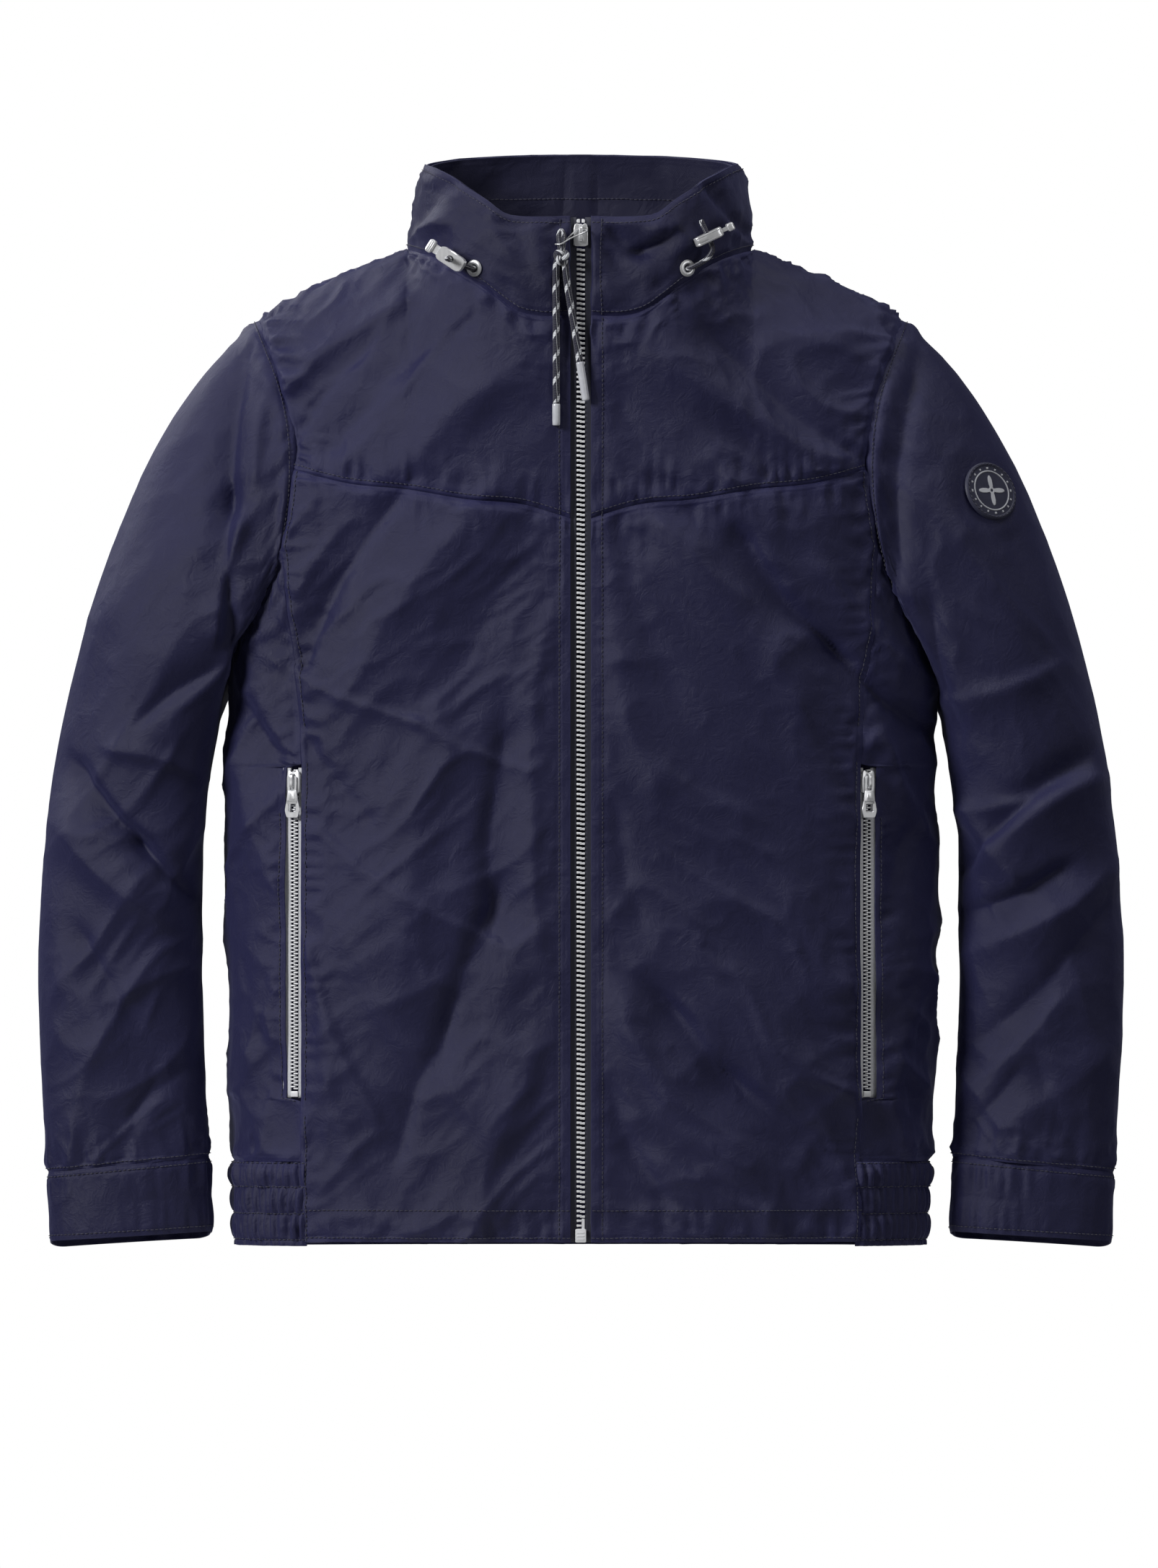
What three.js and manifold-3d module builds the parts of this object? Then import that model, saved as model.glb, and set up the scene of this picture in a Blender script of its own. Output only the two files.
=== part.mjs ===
// Foul weather jacket, zipped up and hanging from its hanger loop.
// Millimetres. +Z up, the front faces -Y, the wearer's right is -X.
// Everything is laid out in garment coordinates: Z is the height above the hem, X = 0 is the
// front zip. The last lines move the whole garment so that the hanger loop is the origin.
import * as THREE from 'three';
import { mergeVertices } from 'three/addons/utils/BufferGeometryUtils.js';
import Module from 'manifold-3d';

const wasm = await Module();
wasm.setup();

// ---------------------------------------------------------------- driving sizes

const BODY_HALF_WIDTH = 246;
const BODY_HALF_DEPTH = 100;
const BODY_SQUARENESS = 2.6; // exponent of the body's section, 2 is an ellipse
const ARCH_BASE = 480; // height where the chest starts to round towards the shoulders
const ARCH_POWER = 2.4; // exponent of the shoulder arch
const CLOTH = 2; // thickness of the shell fabric as a solid
const SEAM_INSET = CLOTH / 8; // each panel stops this short of its seam line
const LAYER_GAP = 0.3; // clearance between layers and between touching pieces
const LINING = 0.8;

const FRONT_HEM = 5.5;
const BACK_HEM = 0.5;
const ELASTIC_TOP = 61;
const FRONT_EDGE = 7; // the fronts stop this far from the centre line, beside the zip chain
const SIDE_SEAM_X = BODY_HALF_WIDTH - 51.5; // seam between the front panel and the side panel
const NECK_HALF_WIDTH = 121;
const NECK_BACK_Y = 50;
const NECK_SIDE_Z = 696;
const COLLAR_FRONT_Z = 717;
const COLLAR_SIDE_Z = 755;
const COLLAR_BACK_Z = 763.5;
const COLLAR_RIM_HALF_WIDTH = 109;
const COLLAR_RIM_BACK_Y = 46;
const UNDERARM_Z = 413;
const SIDE_PANEL_TOP = 490; // where the side seam runs into the armhole
const YOKE_SIDE_Z = 542; // where the yoke seam runs into the armhole
const SHOULDER_TIP_X = BODY_HALF_WIDTH - 21;
const CUFF_HEIGHT = 50;

const POCKET_BOTTOM = 105;
const POCKET_TOP = 335;
const POCKET_SLOT = 11; // width of the pocket opening, from the side seam outwards
const POCKET_X = SIDE_SEAM_X + POCKET_SLOT / 2;

const CHAIN_HALF_WIDTH = 2.9;
const TEETH_THICKNESS = 2.8;
const TAPE_THICKNESS = 0.6;
const TAPE_WIDTH = 11;
const POCKET_TAPE_WIDTH = 6;
const SLIDER_WIDTH = 10;
const SLIDER_LENGTH = 16;
const WIRE = 1;
const PULL_CORD = 4.8;
const DRAWCORD = 3.6;

const COLUMNS = 8; // grid columns across one front
const NECK_COLUMNS = 5; // of these, how many run along the neck seam at the yoke's top
const YOKE_ROWS = 5;

// ---------------------------------------------------------------- small helpers

const lerp = THREE.MathUtils.lerp;
const clamp01 = (value) => Math.min(1, Math.max(0, value));
const smooth = (value) => clamp01(value) ** 2 * (3 - 2 * clamp01(value));
const vec = (x, y, z) => new THREE.Vector3(x, y, z);

/** A smooth function through points [input, output] in rising input, held level past the ends. */
function through(points) {
  const slope = (i) => {
    const [before, after] = [points[Math.max(0, i - 1)], points[Math.min(points.length - 1, i + 1)]];
    return (after[1] - before[1]) / (after[0] - before[0]);
  };
  return (input) => {
    const last = points.length - 1;
    if (input <= points[0][0]) return points[0][1];
    if (input >= points[last][0]) return points[last][1];
    const i = points.findIndex((point) => point[0] > input) - 1;
    const span = points[i + 1][0] - points[i][0];
    const t = (input - points[i][0]) / span;
    return (2 * t ** 3 - 3 * t ** 2 + 1) * points[i][1] + (t ** 3 - 2 * t ** 2 + t) * span * slope(i)
      + (3 * t ** 2 - 2 * t ** 3) * points[i + 1][1] + (t ** 3 - t ** 2) * span * slope(i + 1);
  };
}

/** Pulls the open edges of a grid of points inwards along the grid lines. */
function insetEdges(grid, inset, wraps) {
  const pull = (edge, inner) => edge.addScaledVector(inner.clone().sub(edge).normalize(), inset);
  const rows = grid.length;
  const columns = grid[0].length;
  for (let c = 0; c < columns; c++) {
    pull(grid[0][c], grid[1][c]);
    pull(grid[rows - 1][c], grid[rows - 2][c]);
  }
  if (wraps) return;
  for (const row of grid) {
    pull(row[0], row[1]);
    pull(row[columns - 1], row[columns - 2]);
  }
}

/** Unit normals of a grid, by the cross product of its column and row directions. */
function gridNormals(grid, wraps) {
  const rows = grid.length;
  const columns = grid[0].length;
  const step = (c, by) => (wraps ? (c + by + columns) % columns : Math.min(columns - 1, Math.max(0, c + by)));
  return grid.map((row, r) => row.map((_, c) => {
    const across = row[step(c, 1)].clone().sub(row[step(c, -1)]);
    const up = grid[Math.min(rows - 1, r + 1)][c].clone().sub(grid[Math.max(0, r - 1)][c]);
    return across.cross(up).normalize();
  }));
}

/**
 * A closed shell from a grid of points: its outer face lies `outer` inside the grid and its
 * inner face `inner` inside. The grid's columns run so that across x up points outwards.
 * `onSeam` may turn a normal so that both pieces of a seam are cut along the same plane.
 */
function shell(grid, { outer = 0, inner = CLOTH, wraps = false, inset = SEAM_INSET, onSeam = () => {} } = {}) {
  const normals = gridNormals(grid, wraps);
  normals.forEach((row, r) => row.forEach((normal, c) => onSeam(normal, grid[r][c])));
  const points = grid.map((row) => row.map((point) => point.clone()));
  insetEdges(points, inset, wraps);
  const rows = points.length;
  const columns = points[0].length;
  const face = (depth) => points.flatMap((row, r) => row.map((p, c) => p.clone().addScaledVector(normals[r][c], -depth)));
  const vertices = [...face(outer), ...face(inner)];
  const back = rows * columns;
  const at = (r, c) => r * columns + (c % columns);
  const index = [];
  const quad = (a, b, c, d) => index.push(a, b, c, a, c, d);
  const lastColumn = wraps ? columns : columns - 1;
  for (let c = 0; c < lastColumn; c++) {
    for (let r = 0; r < rows - 1; r++) {
      quad(at(r, c), at(r, c + 1), at(r + 1, c + 1), at(r + 1, c));
      quad(back + at(r, c), back + at(r + 1, c), back + at(r + 1, c + 1), back + at(r, c + 1));
    }
    quad(at(0, c + 1), at(0, c), back + at(0, c), back + at(0, c + 1));
    quad(at(rows - 1, c), at(rows - 1, c + 1), back + at(rows - 1, c + 1), back + at(rows - 1, c));
  }
  for (let r = 0; r < rows - 1 && !wraps; r++) {
    quad(at(r, 0), at(r + 1, 0), back + at(r + 1, 0), back + at(r, 0));
    quad(at(r + 1, columns - 1), at(r, columns - 1), back + at(r, columns - 1), back + at(r + 1, columns - 1));
  }
  const geometry = new THREE.BufferGeometry();
  geometry.setAttribute('position', new THREE.Float32BufferAttribute(vertices.flatMap((v) => [v.x, v.y, v.z]), 3));
  geometry.setIndex(index);
  return geometry;
}

/** The same grid on the other side of the body, its columns turned round to keep facing out. */
const mirrored = (grid) => grid.map((row) => row.map((p) => vec(-p.x, p.y, p.z)).reverse());

function toSolid(geometry) {
  const bare = geometry.clone();
  for (const name of ['normal', 'uv']) bare.deleteAttribute(name);
  const merged = mergeVertices(bare, 1e-4);
  const mesh = new wasm.Mesh({
    numProp: 3,
    vertProperties: merged.getAttribute('position').array,
    triVerts: new Uint32Array(merged.getIndex().array),
  });
  return new wasm.Manifold(mesh);
}

function toGeometry(manifold) {
  const mesh = manifold.getMesh();
  const geometry = new THREE.BufferGeometry();
  geometry.setAttribute('position', new THREE.Float32BufferAttribute(Array.from(mesh.vertProperties), 3));
  geometry.setIndex(Array.from(mesh.triVerts));
  return geometry;
}

const joined = (...pieces) => toGeometry(pieces.map(toSolid).reduce((sum, next) => sum.add(next)));
const cut = (piece, ...tools) => toGeometry(tools.map(toSolid).reduce((rest, tool) => rest.subtract(tool), toSolid(piece)));

/** A box given by its low and high corner. */
function box([x0, y0, z0], [x1, y1, z1]) {
  const geometry = new THREE.BoxGeometry(x1 - x0, y1 - y0, z1 - z0);
  return geometry.translate((x0 + x1) / 2, (y0 + y1) / 2, (z0 + z1) / 2);
}

/** A round cord or wire of the given diameter along a curve, with flat ends. */
function cord(curve, diameter, steps, sides = 8) {
  const section = new THREE.Shape(new THREE.EllipseCurve(0, 0, diameter / 2, diameter / 2).getPoints(sides).slice(0, sides));
  return new THREE.ExtrudeGeometry(section, { steps, extrudePath: curve });
}

const curveThrough = (points, closed = false) =>
  new THREE.CatmullRomCurve3(points.map(([x, y, z]) => vec(x, y, z)), closed, 'centripetal');

// ---------------------------------------------------------------- materials

const paint = (color, roughness, metalness = 0) => new THREE.MeshStandardMaterial({ color, roughness, metalness });
const SHELL_CLOTH = paint(0x28283c, 0.6);
const INNER_CLOTH = paint(0x1e1d2f, 0.75);
const LINING_CLOTH = paint(0x1b1b2a, 0.9);
const ELASTIC = paint(0x242438, 0.7);
const ZIP_TAPE = paint(0x2f3044, 0.85);
const POCKET_TAPE = paint(0xd9dade, 0.8);
const TEETH = paint(0xc9ccd2, 0.4);
const METAL = paint(0xc8cacf, 0.3, 1);
const CORD_NAVY = paint(0x20213a, 0.85);
const CLEAR = paint(0xb9bdc6, 0.25);
const RUBBER = paint(0x23243a, 0.55);

// ---------------------------------------------------------------- body surface

/** Share of the body's depth left at a distance from the centre line. */
const depthShare = (x) => (1 - Math.min(1, Math.abs(x) / BODY_HALF_WIDTH) ** BODY_SQUARENESS) ** (1 / BODY_SQUARENESS);
const sectionAngle = (x) => Math.acos(Math.min(1, x / BODY_HALF_WIDTH) ** (BODY_SQUARENESS / 2));
const sectionX = (angle) => BODY_HALF_WIDTH * Math.cos(angle) ** (2 / BODY_SQUARENESS);

const SIDE_BULGE_REACH = 40; // how far in from the body's side the bulge fades out
const sideBulge = through([[0, -6], [120, -1.5], [260, 2], [400, 0]]);
const shoulderZ = through([[NECK_HALF_WIDTH, NECK_SIDE_Z], [172, 676], [SHOULDER_TIP_X - 15, 658], [SHOULDER_TIP_X, 647]]);
const neckWave = (x) => Math.cos((Math.PI / 2) * clamp01(Math.abs(x) / NECK_HALF_WIDTH));
const FRONT = -1;
const BACK = 1;

/** Height that the shoulder arch aims for; inside the neck it is only imagined. */
function archTop(x, side) {
  const rise = side === FRONT ? 104 * neckWave(x) ** 0.75 : 26 * neckWave(x) ** 2;
  return shoulderZ(Math.abs(x)) + rise;
}

/** Exponent of the arch: squarer at the centre front, so that the zip stays straight. */
const archPower = (x, side) => ARCH_POWER + (side === FRONT ? 3.6 * neckWave(x) ** 2 : 0);

function archPoint(x, angle, side) {
  const power = 2 / archPower(x, side);
  const z = ARCH_BASE + (archTop(x, side) - ARCH_BASE) * Math.sin(angle) ** power;
  return vec(x, side * BODY_HALF_DEPTH * depthShare(x) * Math.max(0, Math.cos(angle)) ** power, z);
}

const archAngle = (x, z, side) =>
  Math.asin(clamp01((z - ARCH_BASE) / (archTop(x, side) - ARCH_BASE)) ** (archPower(x, side) / 2));

/** Point of the body's surface at a distance from the centre line and a height. */
function bodyPoint(x, z, side) {
  const point = archPoint(x, archAngle(x, Math.max(z, ARCH_BASE), side), side);
  point.z = Math.max(z, ARCH_BASE) === ARCH_BASE ? z : point.z;
  point.x += Math.sign(x) * sideBulge(z) * clamp01(1 + (Math.abs(x) - BODY_HALF_WIDTH) / SIDE_BULGE_REACH) ** 2;
  return point;
}

// ---------------------------------------------------------------- seams

const inFromSide = (distance) => BODY_HALF_WIDTH - distance;
const armholeX = through([[UNDERARM_Z, BODY_HALF_WIDTH], [430, inFromSide(10)], [475, inFromSide(34)],
  [535, inFromSide(45)], [590, inFromSide(41)], [shoulderZ(SHOULDER_TIP_X), SHOULDER_TIP_X]]);
const sideSeamX = through([[338, SIDE_SEAM_X], [390, SIDE_SEAM_X + 4], [440, SIDE_SEAM_X + 9.5],
  [SIDE_PANEL_TOP, armholeX(SIDE_PANEL_TOP)]]);
const slotOuterX = (z) => sideSeamX(z) + (z > POCKET_BOTTOM - 1 && z < POCKET_TOP + 1 ? POCKET_SLOT : 0);
const frontYokeZ = through([[0, 505], [40, 517], [78, 520.5], [120, 527.5],
  [armholeX(YOKE_SIDE_Z) - 39, 532], [armholeX(YOKE_SIDE_Z), YOKE_SIDE_Z]]);
const backYokeZ = through([[0, 556], [100, 553], [armholeX(YOKE_SIDE_Z), YOKE_SIDE_Z]]);
const neckZ = through([[0, 648], [40, 650], [70, 671], [95, 686], [NECK_HALF_WIDTH, NECK_SIDE_Z]]);
const neckBackY = (x) => NECK_BACK_Y * (1 - (x / NECK_HALF_WIDTH) ** 2.4) ** (1 / 2.4);

const steps = (from, to, count) => Array.from({ length: count + 1 }, (_, i) => lerp(from, to, i / count));
const SIDE_ROWS = [ELASTIC_TOP, POCKET_BOTTOM - 2, POCKET_BOTTOM, POCKET_TOP, POCKET_TOP + 2,
  ...steps(375, SIDE_PANEL_TOP, 3)];
const ARM_ROWS = steps(SIDE_PANEL_TOP, YOKE_SIDE_Z, 2);
const BACK_ROWS = [ELASTIC_TOP, ...SIDE_ROWS.slice(SIDE_ROWS.indexOf(POCKET_TOP + 2))]; // no pocket on the back
const PANEL_STRETCH_BASE = 400; // above this height a panel's rows stretch to meet the yoke seam

/** Distance of neck column k from the centre line, closer together towards the side of the neck. */
const neckColumnX = (k, from) => from + (NECK_HALF_WIDTH - from) * Math.sin((k / NECK_COLUMNS) * (Math.PI / 2));

function panelPoint(share, rowZ, side) {
  const outer = rowZ <= SIDE_PANEL_TOP ? sideSeamX(rowZ) : armholeX(rowZ);
  const inner = side === FRONT ? FRONT_EDGE : 0;
  const x = lerp(inner, outer, share);
  const seam = side === FRONT ? frontYokeZ : backYokeZ;
  const stretch = (seam(x) - PANEL_STRETCH_BASE) / (YOKE_SIDE_Z - PANEL_STRETCH_BASE);
  const z = rowZ <= PANEL_STRETCH_BASE ? rowZ : PANEL_STRETCH_BASE + (rowZ - PANEL_STRETCH_BASE) * stretch;
  return bodyPoint(x, z, side);
}

/** Front or back panel of the +X side; the row at the armhole end of each line lies on the seam. */
function panelGrid(side, hem) {
  const rows = [hem, ...(side === FRONT ? SIDE_ROWS : BACK_ROWS), ...ARM_ROWS.slice(1)];
  return rows.map((rowZ) => steps(0, 1, COLUMNS).map((share) => panelPoint(share, rowZ, side)));
}

/** Yoke of the +X side, from the yoke seam over to the shoulder seam and the neck seam. */
function yokeGrid(side) {
  const seam = side === FRONT ? frontYokeZ : backYokeZ;
  const inner = side === FRONT ? FRONT_EDGE : 0;
  const lowX = steps(inner, armholeX(YOKE_SIDE_Z), COLUMNS);
  const highX = lowX.map((_, c) => (c <= NECK_COLUMNS ? neckColumnX(c, inner)
    : lerp(NECK_HALF_WIDTH, SHOULDER_TIP_X, (c - NECK_COLUMNS) / (COLUMNS - NECK_COLUMNS))));
  const topAngle = (x) => {
    if (x >= NECK_HALF_WIDTH) return Math.PI / 2;
    if (side === FRONT) return archAngle(x, neckZ(x), side);
    return Math.acos((neckBackY(x) / (BODY_HALF_DEPTH * depthShare(x))) ** (archPower(x, side) / 2));
  };
  const armStart = archAngle(armholeX(YOKE_SIDE_Z), YOKE_SIDE_Z, side);
  return steps(0, 1, YOKE_ROWS).map((v) => {
    const armZ = lerp(YOKE_SIDE_Z, shoulderZ(SHOULDER_TIP_X), v ** 0.7);
    const armX = armholeX(armZ);
    const armAngle = v === 1 ? Math.PI / 2 : archAngle(armX, armZ, side);
    return lowX.map((low, c) => {
      const share = (c / COLUMNS) ** 2;
      const bendX = armX - lerp(armholeX(YOKE_SIDE_Z), SHOULDER_TIP_X, v);
      const bendAngle = armAngle - lerp(armStart, Math.PI / 2, v);
      const x = lerp(low, highX[c], v) + share * bendX;
      const angle = lerp(archAngle(low, seam(low), side), topAngle(highX[c]), v) + share * bendAngle;
      return archPoint(x, angle, side);
    });
  });
}

/** Height of the armhole where it crosses the line at `share` of the side panel's half. */
function sideTop(share) {
  let [low, high] = [UNDERARM_Z, SIDE_PANEL_TOP];
  for (let i = 0; i < 40; i++) {
    const middle = (low + high) / 2;
    const beyond = sectionAngle(armholeX(middle)) > share * sectionAngle(sideSeamX(middle));
    [low, high] = beyond ? [low, middle] : [middle, high];
  }
  return (low + high) / 2;
}

/** Side panel of the +X side; t runs from -1 at the front seam to 1 at the back seam. */
function sideGrid(rows, toArmhole) {
  return rows.map((rowZ) => steps(-1, 1, COLUMNS).map((t) => {
    const top = toArmhole ? sideTop(Math.abs(t)) : SIDE_PANEL_TOP;
    const z = rowZ <= POCKET_TOP + 2 ? rowZ
      : lerp(POCKET_TOP + 2, top, (rowZ - POCKET_TOP - 2) / (SIDE_PANEL_TOP - POCKET_TOP - 2));
    const seam = t < 0 ? slotOuterX(z) : sideSeamX(z);
    const x = sectionX(Math.abs(t) * sectionAngle(seam));
    return bodyPoint(x, z, t < 0 ? FRONT : BACK);
  }));
}

const frontPanel = panelGrid(FRONT, FRONT_HEM);
const backHalf = panelGrid(BACK, BACK_HEM);
const frontYoke = yokeGrid(FRONT);
const backYokeHalf = yokeGrid(BACK);
const sidePanel = sideGrid(SIDE_ROWS, true);

/** Back pieces run right across: the +X half and its mirror image joined at the centre line. */
const acrossBack = (half) => half.map((row) => [...[...row].reverse(), ...row.slice(1).map((p) => vec(-p.x, p.y, p.z))]);

// ---------------------------------------------------------------- sleeves

const CUFF_INNER_X = BODY_HALF_WIDTH + 11;
const CUFF_OUTER_X = CUFF_INNER_X + 113;
const SLEEVE_END_OUTER = new THREE.Vector2(CUFF_OUTER_X + 2, 5 + CUFF_HEIGHT - 2);
const SLEEVE_END_INNER = new THREE.Vector2(CUFF_INNER_X + 1, 12 + CUFF_HEIGHT + 2);
// The sleeve's outer and inner lines, as distances out from the body's side and heights.
const besideBody = (points) => points.map(([out, z]) => new THREE.Vector2(BODY_HALF_WIDTH + out, z));
const outerLine = new THREE.SplineCurve([new THREE.Vector2(SHOULDER_TIP_X, shoulderZ(SHOULDER_TIP_X)),
  ...besideBody([[18, 607], [56, 546], [89, 466], [111, 386], [125, 306], [132, 216], [131, 146]]), SLEEVE_END_OUTER]);
const innerLine = new THREE.SplineCurve([...besideBody([[0, UNDERARM_Z], [7, 360], [15, 306], [18, 226], [16, 126]]),
  SLEEVE_END_INNER]);
const sleeveHalfDepth = through([[0, 70], [0.15, 68], [0.35, 61], [0.55, 54], [0.8, 41], [1, 31]]);
const sleeveForward = through([[0, 0], [0.4, -1], [0.7, -6], [1, -15]]);
const SLEEVE_ROWS = 10;
const ARMHOLE_FADE = 0.35; // share of the sleeve over which the armhole's shape fades out

const last = (row) => row[row.length - 1];
const armholeLoop = [
  ...frontYoke.map(last).reverse(),
  ...frontPanel.map(last).slice(-ARM_ROWS.length).reverse().slice(1),
  ...last(sidePanel).slice(1),
  ...backHalf.map(last).slice(-ARM_ROWS.length).slice(1),
  ...backYokeHalf.map(last).slice(1, -1),
].map((point) => vec(point.x + LAYER_GAP, point.y, point.z));

const loopMiddleZ = (UNDERARM_Z + shoulderZ(SHOULDER_TIP_X)) / 2;
const loopHalfHeight = (shoulderZ(SHOULDER_TIP_X) - UNDERARM_Z) / 2;
const loopAngles = armholeLoop.map((p) => Math.atan2(p.y / sleeveHalfDepth(0), (p.z - loopMiddleZ) / loopHalfHeight));

/** Ellipse between an outer and an inner point of the sleeve, seen from the front. */
function sleeveRing(outer, inner, halfDepth, forward, angle) {
  const middle = outer.clone().add(inner).multiplyScalar(0.5);
  const reach = outer.clone().sub(inner).multiplyScalar(0.5 * Math.cos(angle));
  return vec(middle.x + reach.x, forward + halfDepth * Math.sin(angle), middle.y + reach.y);
}

function sleevePoint(share, k) {
  const ring = (v) => sleeveRing(outerLine.getPointAt(v), innerLine.getPointAt(v), sleeveHalfDepth(v), sleeveForward(v), loopAngles[k]);
  const offset = armholeLoop[k].clone().sub(ring(0)).multiplyScalar(1 - smooth(share / ARMHOLE_FADE));
  return ring(share).add(offset);
}

const sleeveGrid = steps(1, 0, SLEEVE_ROWS).map((share) => armholeLoop.map((_, k) => sleevePoint(share, k)));
const cuffGrid = steps(1, 0, 3).map((drop) => loopAngles.map((angle) => {
  const outer = SLEEVE_END_OUTER.clone().lerp(new THREE.Vector2(CUFF_OUTER_X, 5), drop);
  const inner = SLEEVE_END_INNER.clone().lerp(new THREE.Vector2(CUFF_INNER_X, 12), drop);
  return sleeveRing(outer, inner, lerp(sleeveHalfDepth(1), 28, drop), sleeveForward(1), angle);
}));

// ---------------------------------------------------------------- collar

const COLLAR_ROWS = 4;
const COLLAR_BULGE = 2.3;
const rimFrontZ = through([[0, COLLAR_FRONT_Z], [50, COLLAR_FRONT_Z + 1], [66, 729], [90, 744],
  [COLLAR_RIM_HALF_WIDTH, COLLAR_SIDE_Z]]);
const rimFrontY = (x) => -BODY_HALF_DEPTH * (1 - clamp01(x / COLLAR_RIM_HALF_WIDTH) ** 3) ** (1 / 3);

/** The collar from its right front edge round the back to its left front edge, row 0 at the neck seam. */
function collarGrid() {
  const half = [];
  for (let k = 0; k <= NECK_COLUMNS; k++) {
    const turn = Math.sin((k / NECK_COLUMNS) * (Math.PI / 2));
    const rimX = k === 0 ? FRONT_EDGE : lerp(FRONT_EDGE, COLLAR_RIM_HALF_WIDTH, turn);
    half.push([last(frontYoke)[k], vec(rimX, rimFrontY(rimX), rimFrontZ(rimX))]);
  }
  for (let k = NECK_COLUMNS - 1; k >= 0; k--) {
    const rimX = COLLAR_RIM_HALF_WIDTH * Math.sin((k / NECK_COLUMNS) * (Math.PI / 2));
    const round = Math.sqrt(1 - (rimX / COLLAR_RIM_HALF_WIDTH) ** 2);
    half.push([last(backYokeHalf)[k], vec(rimX, COLLAR_RIM_BACK_Y * round, lerp(COLLAR_SIDE_Z, COLLAR_BACK_Z, round))]);
  }
  const mirror = half.slice(0, -1).map((pair) => pair.map((p) => vec(-p.x, p.y, p.z))).reverse();
  const columns = [...half, ...mirror];
  return steps(0, 1, COLLAR_ROWS).map((v) => columns.map(([low, high]) => {
    const point = low.clone().lerp(high, v);
    const outwards = vec(point.x, point.y, 0).normalize();
    return point.addScaledVector(outwards, Math.abs(point.x) > FRONT_EDGE ? COLLAR_BULGE * Math.sin(Math.PI * v) : 0);
  }));
}

// ---------------------------------------------------------------- zips

/** Depths behind the cloth's face of a zip's layers, for a tape whose front lies at `tape`. */
const zipDepths = (tape) => ({
  tape: [tape, tape + TAPE_THICKNESS],
  teeth: [tape + (TAPE_THICKNESS - TEETH_THICKNESS) / 2, tape + (TAPE_THICKNESS + TEETH_THICKNESS) / 2],
});
const FRONT_ZIP = zipDepths(CLOTH + 0.8);
const POCKET_ZIP = zipDepths(CLOTH + 1.3);
const CENTRE_GAP = 0.6; // half the gap between the rows of teeth, where the slider's post runs
const PLATE = 1.4; // thickness of the slider's front and back plates
const FLANGE = 0.8;
const BRIDGE = 0.5; // how far the slider's post, flanges and bail reach into its plates
const BAIL_ROOM = 2.2; // room for the pull's bar between the front plate and the bail
const BAIL_HALF_WIDTH = 1.2;
const BAIL_LOW = -5;
const BAIL_HIGH = 5.6;
const BAIL_LEG = 1.2;
const BAR_Z = 3.2; // height of the pull's bar above the slider's middle
const PULL_BAR = 1.2;

/** Both faces of one slider: plates, flanges round the tape edges, post and bail; middle at Z = 0. */
function sliderGeometry(depths) {
  const [front, back] = [depths.teeth[0] - LAYER_GAP, depths.teeth[1] + LAYER_GAP];
  const [tapeFront, tapeBack] = [depths.tape[0] - LAYER_GAP, depths.tape[1] + LAYER_GAP];
  const [half, long] = [SLIDER_WIDTH / 2, SLIDER_LENGTH / 2];
  const bail = front - PLATE - BAIL_ROOM;
  const pieces = [
    box([-half, front - PLATE, -long], [half, front, long]),
    box([-half, back, -long], [half, back + PLATE, long]),
    box([-CENTRE_GAP / 2, front - BRIDGE, long - 4], [CENTRE_GAP / 2, back + BRIDGE, long - 1]),
    box([-BAIL_HALF_WIDTH, bail - PLATE, BAIL_LOW], [BAIL_HALF_WIDTH, bail, BAIL_HIGH]),
    box([-BAIL_HALF_WIDTH, bail - BRIDGE, BAIL_HIGH - BAIL_LEG], [BAIL_HALF_WIDTH, front - BRIDGE, BAIL_HIGH]),
    box([-BAIL_HALF_WIDTH, bail - BRIDGE, BAIL_LOW], [BAIL_HALF_WIDTH, front - BRIDGE, BAIL_LOW + BAIL_LEG]),
  ];
  for (const [x0, x1] of [[-half, FLANGE - half], [half - FLANGE, half]]) {
    pieces.push(box([x0, front - BRIDGE, -long], [x1, tapeFront, long]));
    pieces.push(box([x0, tapeBack, -long], [x1, back + BRIDGE, long]));
  }
  return joined(...pieces);
}

/** Depth of the pull's bar, in the middle of its room behind the bail. */
const barDepth = (depths) => depths.teeth[0] - LAYER_GAP - PLATE - BAIL_ROOM / 2;

const tapeGeometry = (depths, width, low, high) =>
  box([CHAIN_HALF_WIDTH + LAYER_GAP, depths.tape[0], low], [CHAIN_HALF_WIDTH + LAYER_GAP + width, depths.tape[1], high]);
const rowGeometry = (depths, low, high) =>
  box([CENTRE_GAP, depths.teeth[0], low], [CHAIN_HALF_WIDTH, depths.teeth[1], high]);

const PULL_TAB_LENGTH = 29;
const PULL_TAB_HALF_WIDTH = 5.8;
const PULL_TAB_NECK = 3.4;
const PULL_WINDOW_HALF_WIDTH = 2.7;

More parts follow.
